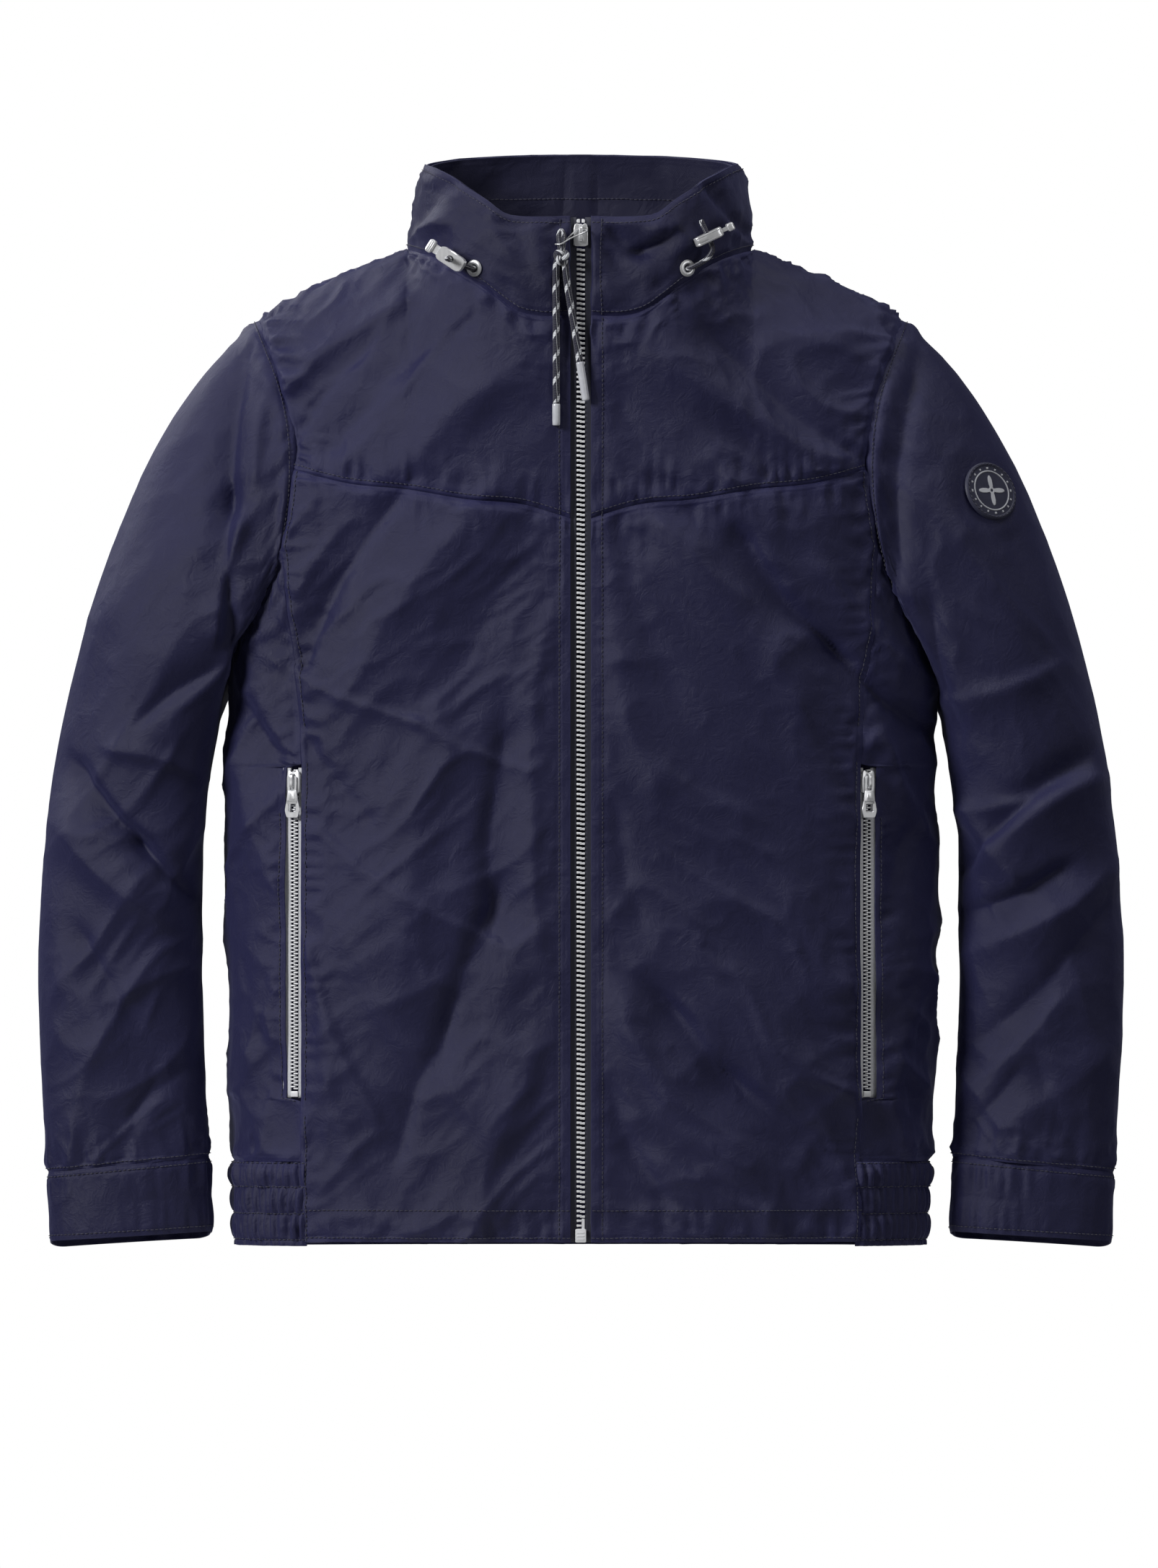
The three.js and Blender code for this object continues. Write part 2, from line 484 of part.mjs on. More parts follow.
/** Flat pull that hangs from the bail by its top bar; the bar's middle is the origin. */
function pullTabGeometry() {
  const low = PULL_BAR / 2 - PULL_TAB_LENGTH;
  const outline = new THREE.Shape([[-PULL_TAB_NECK, PULL_BAR / 2], [-PULL_TAB_NECK, -9], [-PULL_TAB_HALF_WIDTH, low + 5],
    [-PULL_TAB_HALF_WIDTH + 1.5, low], [PULL_TAB_HALF_WIDTH - 1.5, low], [PULL_TAB_HALF_WIDTH, low + 5],
    [PULL_TAB_NECK, -9], [PULL_TAB_NECK, PULL_BAR / 2]].map(([x, z]) => new THREE.Vector2(x, z)));
  const hole = (half, bottom, top) => new THREE.Path([[-half, bottom], [half, bottom], [half, top], [-half, top]]
    .map(([x, z]) => new THREE.Vector2(x, z)));
  outline.holes.push(hole(BAIL_HALF_WIDTH + 0.5, BAIL_LOW - BAR_Z - 1, -PULL_BAR / 2));
  outline.holes.push(hole(PULL_WINDOW_HALF_WIDTH, low + 4, low + 10.5));
  const plate = new THREE.ExtrudeGeometry(outline, { depth: PULL_BAR, bevelEnabled: false });
  return plate.translate(0, 0, -PULL_BAR / 2).rotateX(Math.PI / 2);
}

// ---------------------------------------------------------------- cord locks

const LOCK_LENGTH = 21;
const LOCK_WIDTH = 10.5;
const LOCK_THICKNESS = 6;
const BLADE_WIDTH = 6.4;
const BLADE_THICKNESS = 2.4;
const LOCK_TRAVEL = 3.5;
const CORD_PLAY = 0.4; // clearance between the drawcord and the hole round it
const LOCK_HOLE = DRAWCORD / 2 + CORD_PLAY;
const PLUNGER_HEAD = 5;
const SPRING_ROOM = 6;

/** Along X: the spring end is -X and the plunger comes out at +X. The cord hole runs along Y. */
function roundedSlab(length, width, thickness, corner) {
  const [a, b] = [length / 2, width / 2];
  const outline = new THREE.Shape();
  outline.moveTo(a - corner, -b).absarc(a - corner, corner - b, corner, -Math.PI / 2, 0);
  outline.absarc(a - corner, b - corner, corner, 0, Math.PI / 2);
  outline.absarc(corner - a, b - corner, corner, Math.PI / 2, Math.PI);
  outline.absarc(corner - a, corner - b, corner, Math.PI, 1.5 * Math.PI);
  const slab = new THREE.ExtrudeGeometry(outline, { depth: thickness, bevelEnabled: false, curveSegments: 4 });
  return slab.translate(0, 0, -thickness / 2).rotateX(Math.PI / 2);
}

function lockBodyGeometry() {
  const half = LOCK_LENGTH / 2;
  const bladeRoom = box([-half + 2, -BLADE_THICKNESS / 2 - LAYER_GAP, -BLADE_WIDTH / 2 - LAYER_GAP],
    [half + 1, BLADE_THICKNESS / 2 + LAYER_GAP, BLADE_WIDTH / 2 + LAYER_GAP]);
  const hole = new THREE.CylinderGeometry(LOCK_HOLE, LOCK_HOLE, LOCK_THICKNESS + 2, 12);
  return cut(roundedSlab(LOCK_LENGTH, LOCK_WIDTH, LOCK_THICKNESS, 4), bladeRoom, hole);
}

function plungerGeometry() {
  const half = LOCK_LENGTH / 2;
  const bladeEnd = -half + 2 + SPRING_ROOM;
  const headStart = half + LOCK_TRAVEL + LAYER_GAP;
  const blade = box([bladeEnd, -BLADE_THICKNESS / 2, -BLADE_WIDTH / 2], [headStart + 1, BLADE_THICKNESS / 2, BLADE_WIDTH / 2]);
  const slot = box([-LOCK_HOLE, -BLADE_THICKNESS, -LOCK_HOLE], [LOCK_HOLE + LOCK_TRAVEL, BLADE_THICKNESS, LOCK_HOLE]);
  const head = roundedSlab(PLUNGER_HEAD, LOCK_WIDTH - 1, LOCK_THICKNESS - 1, 2);
  return cut(joined(blade, head.translate(headStart + PLUNGER_HEAD / 2, 0, 0)), slot);
}

function springGeometry() {
  const turns = 4;
  const wire = 0.6;
  const reach = SPRING_ROOM - 2 * LAYER_GAP - wire;
  const start = -LOCK_LENGTH / 2 + 2 + LAYER_GAP + wire / 2;
  const helix = Array.from({ length: turns * 8 + 1 }, (_, i) => {
    const angle = (i / 8) * 2 * Math.PI;
    return [start + (i / (turns * 8)) * reach, 0.95 * Math.cos(angle), 2 * Math.sin(angle)];
  });
  return cord(curveThrough(helix), wire, turns * 8, 5);
}

// ---------------------------------------------------------------- assembly

const garment = new THREE.Group();

function add(name, geometry, material, group = garment) {
  const mesh = new THREE.Mesh(geometry, material);
  mesh.name = name;
  group.add(mesh);
  return mesh;
}

/** A group whose own X and Y axes point the given ways. */
function placed(position, xAxis, yAxis) {
  const group = new THREE.Group();
  const x = xAxis.clone().normalize();
  const z = x.clone().cross(yAxis).normalize();
  group.quaternion.setFromRotationMatrix(new THREE.Matrix4().makeBasis(x, z.clone().cross(x), z));
  group.position.copy(position);
  garment.add(group);
  return group;
}

/** Adds a piece made for the wearer's left, +X, and its mirror image for the right. */
function addPair(name, grid, options, material) {
  add(`left_${name}`, shell(grid, options), material);
  add(`right_${name}`, shell(mirrored(grid), options), material);
}

const turned = (grid) => grid.map((row) => [...row].reverse());

/** Both yokes end at the shoulder seam, in the plane Y = 0. */
function squareToShoulderSeam(normal, point) {
  if (Math.abs(point.y) > 0.5 || point.z < SIDE_PANEL_TOP) return;
  normal.y = 0;
  normal.normalize();
}

function buildBody() {
  addPair('front_panel', frontPanel, {}, SHELL_CLOTH);
  addPair('front_yoke', frontYoke, { onSeam: squareToShoulderSeam }, SHELL_CLOTH);
  add('back_panel', shell(acrossBack(backHalf)), SHELL_CLOTH);
  add('back_yoke', shell(acrossBack(backYokeHalf), { onSeam: squareToShoulderSeam }), SHELL_CLOTH);
  addPair('side_panel', sidePanel, {}, SHELL_CLOTH);
  addPair('hem_elastic', sideGrid([BACK_HEM + 2, ELASTIC_TOP / 2, ELASTIC_TOP], false), {}, ELASTIC);
}

/** The rows and columns of a grid between the given first and last ones. */
const crop = (grid, [row0, row1], [column0, column1]) => grid.slice(row0, row1 + 1).map((row) => row.slice(column0, column1 + 1));

function buildLinings() {
  const behindCloth = { outer: CLOTH + LAYER_GAP, inner: CLOTH + LAYER_GAP + LINING };
  const behindBag = { outer: behindCloth.inner + LAYER_GAP, inner: behindCloth.inner + LAYER_GAP + LINING };
  const pocketRows = [2, 5];
  const topRow = frontPanel.length - 1;
  addPair('pocket_bag', crop(frontPanel, pocketRows, [3, COLUMNS - 1]), behindCloth, LINING_CLOTH);
  addPair('front_lining', crop(frontPanel, [1, topRow], [1, COLUMNS - 1]), behindBag, LINING_CLOTH);
  const backLining = crop(acrossBack(backHalf), [1, backHalf.length - 1], [1, 2 * COLUMNS - 1]);
  add('back_lining', shell(backLining, behindCloth), LINING_CLOTH);
}

function buildSleeves() {
  for (const [grid, name] of [[sleeveGrid, 'sleeve'], [cuffGrid, 'cuff']]) {
    const round = turned(grid);
    const material = name === 'cuff' ? ELASTIC : SHELL_CLOTH;
    add(`left_${name}`, shell(round, { wraps: true }), material);
    add(`right_${name}`, shell(mirrored(round), { wraps: true }), material);
  }
}

const EYELET_WALL = DRAWCORD / 2 + 1.6; // outside of its barrel
const EYELET_FLANGE = 6;
const EYELET_COLUMN = 2; // the collar's grid column that the eyelet sits on
const EYELET_RISE = 0.13; // its height up the collar, as a share

/** Frame on the outside of the collar where the +X eyelet sits. */
function eyeletFrame(grid) {
  const along = (v) => {
    const row = v * COLLAR_ROWS;
    const low = Math.floor(row);
    return grid[low][EYELET_COLUMN].clone().lerp(grid[low + 1][EYELET_COLUMN], row - low);
  };
  const point = along(EYELET_RISE);
  const normal = gridNormals(grid, false)[0][EYELET_COLUMN];
  return { point, normal };
}

function eyeletGeometry() {
  const [bore, wall] = [EYELET_WALL - 0.9, EYELET_WALL];
  const profile = [[bore, -CLOTH], [wall, -CLOTH], [wall, 0.6], [EYELET_FLANGE, 0.6], [EYELET_FLANGE, 1.1], [wall, 1.6],
    [bore, 1.1], [bore, -CLOTH]];
  return new THREE.LatheGeometry(profile.map(([r, h]) => new THREE.Vector2(r, h)), 18);
}

function buildCollar() {
  const grid = collarGrid();
  const { point, normal } = eyeletFrame(grid);
  const hole = new THREE.CylinderGeometry(EYELET_WALL + LAYER_GAP, EYELET_WALL + LAYER_GAP, 12, 18);
  const frames = [[point, normal], [vec(-point.x, point.y, point.z), vec(-normal.x, normal.y, normal.z)]];
  const holes = frames.map(([p, n]) => {
    const turn = new THREE.Quaternion().setFromUnitVectors(vec(0, 1, 0), n);
    return hole.clone().applyQuaternion(turn).translate(p.x, p.y, p.z);
  });
  add('collar_outer', cut(shell(grid), ...holes), SHELL_CLOTH);
  const behindTape = FRONT_ZIP.tape[1] + LAYER_GAP;
  add('collar_facing', shell(grid, { outer: behindTape, inner: behindTape + LINING }), INNER_CLOTH);
  frames.forEach(([p, n], i) => {
    const mesh = add(i === 0 ? 'left_eyelet' : 'right_eyelet', eyeletGeometry(), METAL);
    mesh.quaternion.setFromUnitVectors(vec(0, 1, 0), n);
    mesh.position.copy(p);
  });
}

const ZIP_TOP = COLLAR_FRONT_Z - 1;
const BOX_BOTTOM = FRONT_HEM;
const BOX_TOP = BOX_BOTTOM + 9.5;
const BOX_HALF_WIDTH = 3.75;
const PIN_TOP = BOX_TOP + 7;
const SLIDER_Z = COLLAR_FRONT_Z - 13;
const STOP_HEIGHT = 2.5;

function buildFrontZip() {
  const zip = placed(vec(0, -BODY_HALF_DEPTH, 0), vec(1, 0, 0), vec(0, 1, 0));
  const tape = () => tapeGeometry(FRONT_ZIP, TAPE_WIDTH, BOX_BOTTOM, ZIP_TOP);
  const mirrorX = (geometry) => toGeometry(toSolid(geometry).mirror([1, 0, 0]));
  add('left_zip_tape', tape(), ZIP_TAPE, zip);
  add('right_zip_tape', mirrorX(tape()), ZIP_TAPE, zip);
  const rowTop = SLIDER_Z + SLIDER_LENGTH / 2;
  add('left_zip_teeth', rowGeometry(FRONT_ZIP, PIN_TOP + LAYER_GAP, rowTop), TEETH, zip);
  add('right_zip_teeth', mirrorX(rowGeometry(FRONT_ZIP, BOX_TOP + LAYER_GAP, rowTop)), TEETH, zip);
  const stop = () => rowGeometry(FRONT_ZIP, rowTop + LAYER_GAP, rowTop + LAYER_GAP + STOP_HEIGHT);
  add('left_zip_top_stop', stop(), TEETH, zip);
  add('right_zip_top_stop', mirrorX(stop()), TEETH, zip);

  const [front, back] = FRONT_ZIP.teeth;
  const [tapeFront, tapeBack] = [FRONT_ZIP.tape[0] - LAYER_GAP, FRONT_ZIP.tape[1] + LAYER_GAP];
  const tapeRoom = (x0, x1) => box([x0, tapeFront, BOX_BOTTOM - 1], [x1, tapeBack, BOX_TOP + 1]);
  const pinRoom = box([CENTRE_GAP - LAYER_GAP, front, BOX_BOTTOM + 1.2], [CHAIN_HALF_WIDTH, back, BOX_TOP + 1]);
  const retainer = box([-BOX_HALF_WIDTH, front - 0.7, BOX_BOTTOM], [BOX_HALF_WIDTH, back + 0.7, BOX_TOP]);
  add('zip_retainer_box', cut(retainer, pinRoom, tapeRoom(CHAIN_HALF_WIDTH - 0.1, BOX_HALF_WIDTH + 1),
    tapeRoom(-BOX_HALF_WIDTH - 1, -CHAIN_HALF_WIDTH)), TEETH, zip);
  add('zip_insertion_pin', box([CENTRE_GAP, front + LAYER_GAP, BOX_BOTTOM + 1.5],
    [CHAIN_HALF_WIDTH - LAYER_GAP, back - LAYER_GAP, PIN_TOP]), TEETH, zip);

  const slider = add('zip_slider', sliderGeometry(FRONT_ZIP), METAL, zip);
  slider.position.z = SLIDER_Z;
}

// The pull of the front zip: a wire ring through the slider's bail, and a doubled cord knotted to it.
const KNOT = vec(-13.5, -107, 688.5);
const KNOT_RADII = vec(6.5, 4.6, 6);
const NECK_TOP = 705;
const STOPPER_RADIUS = 3.6;
const AGLET = 5.6;

function buildZipPull() {
  const barY = -BODY_HALF_DEPTH + barDepth(FRONT_ZIP);
  const barZ = SLIDER_Z + BAR_Z;
  const ring = curveThrough([[2.6, barY, barZ], [0, barY, barZ], [-2.6, barY, barZ], [-7.5, barY - 1.6, barZ - 4.2],
    [-12.5, KNOT.y + 3.7, KNOT.z + 9.3], [-16.7, KNOT.y + 2.4, KNOT.z + 8.8], [-17.4, KNOT.y - 1.6, KNOT.z + 8.6],
    [-13.4, KNOT.y - 3.8, KNOT.z + 8.9],
    [-7, KNOT.y - 2.4, barZ - 6], [0, KNOT.y - 0.6, barZ - 3], [4.4, barY - 2.6, barZ - 0.8]], true);
  add('zip_pull_ring', new THREE.TubeGeometry(ring, 30, WIRE / 2, 6, true), METAL);

  const ball = (radii, centre) => new THREE.SphereGeometry(1, 12, 8).scale(radii.x, radii.y, radii.z)
    .translate(centre.x, centre.y, centre.z);
  const neck = new THREE.CylinderGeometry(PULL_CORD / 2, PULL_CORD / 2, NECK_TOP - KNOT.z, 10).rotateX(Math.PI / 2)
    .translate(KNOT.x, KNOT.y, (NECK_TOP + KNOT.z) / 2);
  const stopper = ball(vec(STOPPER_RADIUS, STOPPER_RADIUS, STOPPER_RADIUS), vec(KNOT.x, KNOT.y, NECK_TOP));
  add('pull_cord_knot', joined(ball(KNOT_RADII, KNOT), neck, stopper), CORD_NAVY);

  const strandTop = KNOT.z - KNOT_RADII.z - 0.1;
  const strands = {
    long: { points: [[-17, -105.5, strandTop], [-17.2, -103.6, 668], [-17, -103.2, 630], [-17, -103.2, 587]], aglet: 15 },
    short: { points: [[-10.6, -105.5, strandTop], [-9.2, -103.8, 668], [-4.6, -103.4, 640], [-0.7, -103.4, 616]], aglet: 27 },
  };
  for (const [name, { points, aglet }] of Object.entries(strands)) {
    const path = curveThrough(points);
    add(`pull_cord_${name}`, cord(path, PULL_CORD, 12), CORD_NAVY);
    const tip = path.getPoint(1);
    const along = path.getTangent(1);
    const mesh = add(`${name}_cord_aglet`, new THREE.CylinderGeometry(AGLET / 2, AGLET / 2, aglet, 12), CLEAR);
    mesh.quaternion.setFromUnitVectors(vec(0, 1, 0), along);
    mesh.position.copy(tip.addScaledVector(along, aglet / 2 + LAYER_GAP));
  }
}

const POCKET_SLIDER_Z = POCKET_TOP - 10;
const END_BLOCK = 5; // top of the block at the chain's foot, above the slot's lower end

function buildPocketZips() {
  const slope = (bodyPoint(POCKET_X + 1, POCKET_TOP, FRONT).y - bodyPoint(POCKET_X - 1, POCKET_TOP, FRONT).y) / 2;
  const tape = () => tapeGeometry(POCKET_ZIP, POCKET_TAPE_WIDTH, POCKET_BOTTOM + 0.5, POCKET_TOP - 0.5);
  const row = rowGeometry(POCKET_ZIP, POCKET_BOTTOM + 1, POCKET_TOP - 1.5);
  const endBlock = box([-CHAIN_HALF_WIDTH, POCKET_ZIP.teeth[0], POCKET_BOTTOM + 1],
    [CHAIN_HALF_WIDTH, POCKET_ZIP.teeth[1], POCKET_BOTTOM + END_BLOCK]);
  for (const [name, sign] of [['left', 1], ['right', -1]]) {
    const middle = bodyPoint(POCKET_X, POCKET_BOTTOM, FRONT);
    const zip = placed(vec(sign * middle.x, middle.y, 0), vec(1, sign * slope, 0), vec(-sign * slope, 1, 0));
    const [inner, outer] = sign > 0 ? ['front', 'side'] : ['side', 'front'];
    add(`${name}_pocket_${outer}_tape`, tape(), POCKET_TAPE, zip);
    add(`${name}_pocket_${inner}_tape`, toGeometry(toSolid(tape()).mirror([1, 0, 0])), POCKET_TAPE, zip);
    add(`${name}_pocket_zip_chain`, joined(row, endBlock, toGeometry(toSolid(row).mirror([1, 0, 0]))), TEETH, zip);
    add(`${name}_pocket_slider`, sliderGeometry(POCKET_ZIP), METAL, zip).position.z = POCKET_SLIDER_Z;
    const pull = add(`${name}_pocket_pull`, pullTabGeometry(), METAL, zip);
    pull.position.set(0, barDepth(POCKET_ZIP), POCKET_SLIDER_Z + BAR_Z);
  }
}

// Each lock: its middle, the way its plunger points, and the way the cord leaves it.
const LOCKS = {
  right: { middle: vec(-90, -98.5, 687), plunger: vec(-0.818, 0.185, 0.545), cordOut: vec(-0.22, -0.975, 0) },
  left: { middle: vec(88.5, -94, 702.5), plunger: vec(0.9, 0.1, 0.42), cordOut: vec(-0.42, -0.1, 0.9) },
};
// The stretch of each drawcord between its eyelet and its lock.
const DRAWCORD_BENDS = {
  right: [[-77.5, -95, 681.2], [-82.5, -93.3, 683.5], [-86.8, -90.9, 686]],
  left: [[78, -96, 681.8], [86.5, -96, 686.5], [91.2, -94.4, 693]],
};
const LOCK_SLIDE = 6; // how far a lock can slide along the drawcord's free end
const CORD_END = 13; // length of drawcord that shows beyond the middle of its lock

function buildCordLocks() {
  const { point, normal } = eyeletFrame(collarGrid());
  for (const [name, { middle, plunger, cordOut }] of Object.entries(LOCKS)) {
    const lock = placed(middle, plunger, cordOut);
    add(`${name}_lock_body`, lockBodyGeometry(), METAL, lock);
    add(`${name}_lock_plunger`, plungerGeometry(), METAL, lock);
    add(`${name}_lock_spring`, springGeometry(), METAL, lock);
    const sign = name === 'left' ? 1 : -1;
    const eyelet = vec(sign * point.x, point.y, point.z);
    const out = vec(sign * normal.x, normal.y, normal.z);
    const axis = vec(0, 1, 0).applyQuaternion(lock.quaternion);
    const from = (origin, direction, distance) => origin.clone().addScaledVector(direction, distance).toArray();
    const route = [
      from(eyelet, out, -CLOTH), from(eyelet, out, 0), from(eyelet, out, 2), ...DRAWCORD_BENDS[name],
      from(middle, axis, -LOCK_THICKNESS / 2 - 1), from(middle, axis, 0), from(middle, axis, LOCK_SLIDE), from(middle, axis, CORD_END),
    ];
    add(`${name}_drawcord`, cord(curveThrough(route), DRAWCORD, 34), CORD_NAVY);
  }
}

const BADGE_RADIUS = 21;
const BADGE_THICKNESS = 2;
const BADGE_SHARE = 0.187; // how far down the sleeve it sits
const BADGE_K = 2; // the armhole loop's point that it lines up with

function buildBadge() {
  const nearby = 0.03; // share of the sleeve on each side that gives the way down it
  const middle = sleevePoint(BADGE_SHARE, BADGE_K);
  const across = sleevePoint(BADGE_SHARE, BADGE_K + 1).sub(sleevePoint(BADGE_SHARE, BADGE_K - 1));
  const down = sleevePoint(BADGE_SHARE + nearby, BADGE_K).sub(sleevePoint(BADGE_SHARE - nearby, BADGE_K));
  const out = down.cross(across).normalize();
  if (out.y > 0) out.negate();
  const disc = new THREE.CylinderGeometry(BADGE_RADIUS, BADGE_RADIUS, BADGE_THICKNESS, 32);
  const badge = add('left_sleeve_badge', disc, RUBBER);
  badge.quaternion.setFromUnitVectors(vec(0, 1, 0), out);
  badge.position.copy(middle.addScaledVector(out, BADGE_THICKNESS / 2 + LAYER_GAP));
}

const LOOP_CORD = 3;
const LOOP_APEX = vec(0, 37, 712);
const LOOP_END_Y = NECK_BACK_Y - FRONT_ZIP.tape[1] - LAYER_GAP - LINING - LOOP_CORD / 2; // at the facing

function buildHangerLoop() {
  const [endX, endZ] = [24, 703];
  const route = [[-endX, LOOP_END_Y, endZ], [-endX, LOOP_END_Y - 4, endZ], [-17, 39, endZ + 5], LOOP_APEX.toArray(),
    [17, 39, endZ + 5], [endX, LOOP_END_Y - 4, endZ], [endX, LOOP_END_Y, endZ]];
  add('hanger_loop', cord(curveThrough(route), LOOP_CORD, 14), CORD_NAVY);
}

buildBody();
buildLinings();
buildSleeves();
buildCollar();
buildFrontZip();
buildZipPull();
buildPocketZips();
buildCordLocks();
buildBadge();
buildHangerLoop();

// The garment hangs from the underside of the loop's middle, which is the part's origin.
const hanging = new THREE.Group();
garment.position.set(-LOOP_APEX.x, -LOOP_APEX.y, LOOP_CORD / 2 - LOOP_APEX.z);
hanging.add(garment);

export default hanging;
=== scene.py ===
import math

import bpy
import numpy as np
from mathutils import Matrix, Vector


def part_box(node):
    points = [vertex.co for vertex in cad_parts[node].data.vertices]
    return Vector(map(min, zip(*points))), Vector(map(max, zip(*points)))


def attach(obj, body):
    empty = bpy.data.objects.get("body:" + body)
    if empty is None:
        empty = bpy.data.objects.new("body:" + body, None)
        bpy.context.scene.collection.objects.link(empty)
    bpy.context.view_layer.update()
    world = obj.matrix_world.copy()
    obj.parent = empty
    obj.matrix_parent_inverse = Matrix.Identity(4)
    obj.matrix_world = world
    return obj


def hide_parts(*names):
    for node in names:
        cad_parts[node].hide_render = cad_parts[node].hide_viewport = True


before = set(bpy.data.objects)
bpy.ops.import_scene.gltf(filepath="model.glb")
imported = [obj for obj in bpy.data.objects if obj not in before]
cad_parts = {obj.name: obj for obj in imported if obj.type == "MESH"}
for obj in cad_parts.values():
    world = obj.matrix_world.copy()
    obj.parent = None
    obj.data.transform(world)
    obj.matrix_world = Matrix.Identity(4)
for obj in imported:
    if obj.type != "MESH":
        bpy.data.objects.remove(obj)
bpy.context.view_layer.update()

# Lengths below are garment millimetres: X across from the zip, Y from front to back, Z up from the hem.
# The frame's origin is the underside of the hanger loop.
ORIGIN = np.array([0.0, 37.0, 710.5])
FRONT, BACK = -1, 1


def placed(points):
    """Garment millimetres to frame metres: p' = (p - origin) / 1000."""
    return (np.asarray(points, float) - ORIGIN) / 1000


def placed_back(point):
    """Frame metres to garment millimetres."""
    return np.asarray(point, float) * 1000 + ORIGIN


# ------------------------------------------------------------------ camera and light

def make_camera():
    """A long lens, level, square to the front, from sixteen metres."""
    data = bpy.data.cameras.new("camera")
    data.sensor_fit = "VERTICAL"
    data.sensor_height = 24
    distance = 16.0
    height_seen = 1.0865
    data.lens = data.sensor_height * distance / height_seen
    data.clip_end = 50
    camera = bpy.data.objects.new("camera", data)
    camera.location = placed([-1.25, -100, 323.25]) - [0, distance, 0]
    camera.rotation_euler = (math.pi / 2, 0, 0)
    bpy.context.collection.objects.link(camera)
    bpy.context.scene.camera = camera


def make_light(name, place, size, power, aim=(0, 0, -0.35)):
    """A square soft light at a place, turned towards the aim."""
    data = bpy.data.lights.new(name, "AREA")
    data.size = size
    data.energy = power
    lamp = bpy.data.objects.new(name, data)
    lamp.location = place
    way = np.array(aim) - np.array(place)
    flat = math.hypot(way[0], way[1])
    lamp.rotation_euler = (math.atan2(flat, -way[2]), 0, math.atan2(way[0], -way[1]) + math.pi)
    bpy.context.collection.objects.link(lamp)


def make_world():
    """White where the camera sees it, dimmer where it lights the cloth."""
    world = bpy.data.worlds.new("studio")
    bpy.context.scene.world = world
    world.use_nodes = True
    tree = world.node_tree
    background = tree.nodes["Background"]
    background.inputs["Color"].default_value = (1, 1, 1, 1)
    path = tree.nodes.new("ShaderNodeLightPath")
    strength = tree.nodes.new("ShaderNodeMix")
    strength.inputs["A"].default_value = 0.08
    strength.inputs["B"].default_value = 1.0
    tree.links.new(path.outputs["Is Camera Ray"], strength.inputs["Factor"])
    tree.links.new(strength.outputs["Result"], background.inputs["Strength"])


make_camera()
make_world()
make_light("key", (-2.5, -1.9, 1.1), 1.0, 96)
make_light("fill", (2.4, -2.4, 0.5), 1.6, 14)
make_light("rim", (-1.6, 1.6, 1.2), 1.2, 20)
make_light("above", (0.6, -0.5, 2.2), 1.2, 25)
bpy.context.scene.view_settings.view_transform = "Standard"


# ------------------------------------------------------------------ shader helpers

def node(tree, kind, settings=None, **inputs):
    """One shader node, its settings, and its inputs given as values or linked sockets."""
    made = tree.nodes.new(kind)
    for key, value in (settings or {}).items():
        setattr(made, key, value)
    for key, value in inputs.items():
        socket = made.inputs[key.replace("_", " ")]
        if isinstance(value, bpy.types.NodeSocket):
            tree.links.new(value, socket)
        else:
            socket.default_value = value
    return made


def calc(tree, operation, *values):
    """A Math node on values or sockets; returns its output."""
    made = tree.nodes.new("ShaderNodeMath")
    made.operation = operation
    for socket, value in zip(made.inputs, values):
        if isinstance(value, bpy.types.NodeSocket):
            tree.links.new(value, socket)
        else:
            socket.default_value = value
    return made.outputs[0]


def blend_colours(tree, factor, first, second):
    """A colour mix; returns its output."""
    made = tree.nodes.new("ShaderNodeMix")
    made.data_type = "RGBA"
    colours = [socket for socket in made.inputs if socket.type == "RGBA"]
    for socket, value in [(made.inputs["Factor"], factor), (colours[0], first), (colours[1], second)]:
        if isinstance(value, bpy.types.NodeSocket):
            tree.links.new(value, socket)
        else:
            socket.default_value = value
    return next(socket for socket in made.outputs if socket.type == "RGBA")


def new_group(name, inputs, outputs):
    """A shader node group with float or vector inputs and float outputs."""
    group = bpy.data.node_groups.new(name, "ShaderNodeTree")
    for label, kind, value in inputs:
        socket = group.interface.new_socket(label, in_out="INPUT", socket_type=kind)
        if value is not None:
            socket.default_value = value
    for label in outputs:
        group.interface.new_socket(label, in_out="OUTPUT", socket_type="NodeSocketFloat")
    return group, group.nodes.new("NodeGroupInput"), group.nodes.new("NodeGroupOutput")


def make_weave_group():
    """Plain weave: threads rise and fall as sin(u) sin(v), with slubs from stretched noise."""
    group, given, out = new_group("plain_weave", [
        ("Vector", "NodeSocketVector", None), ("Thread", "NodeSocketFloat", 0.0006),
        ("Slub", "NodeSocketFloat", 0.4),
    ], ["Height", "Slubs"])
    parts = node(group, "ShaderNodeSeparateXYZ", Vector=given.outputs["Vector"])
    turn = calc(group, "DIVIDE", 6.2832, given.outputs["Thread"])
    across = calc(group, "SINE", calc(group, "MULTIPLY", parts.outputs["X"], turn))
    along = calc(group, "SINE", calc(group, "MULTIPLY", parts.outputs["Y"], turn))
    weave = calc(group, "MULTIPLY", across, along)
    streak = node(group, "ShaderNodeMapping", Vector=given.outputs["Vector"], Scale=(1, 0.12, 1))
    slubs = node(group, "ShaderNodeTexNoise", Vector=streak.outputs[0], Scale=900.0, Detail=2.0)
    rise = calc(group, "MULTIPLY", slubs.outputs["Fac"], given.outputs["Slub"])
    group.links.new(calc(group, "ADD", weave, rise), out.inputs["Height"])
    group.links.new(slubs.outputs["Fac"], out.inputs["Slubs"])
    return group


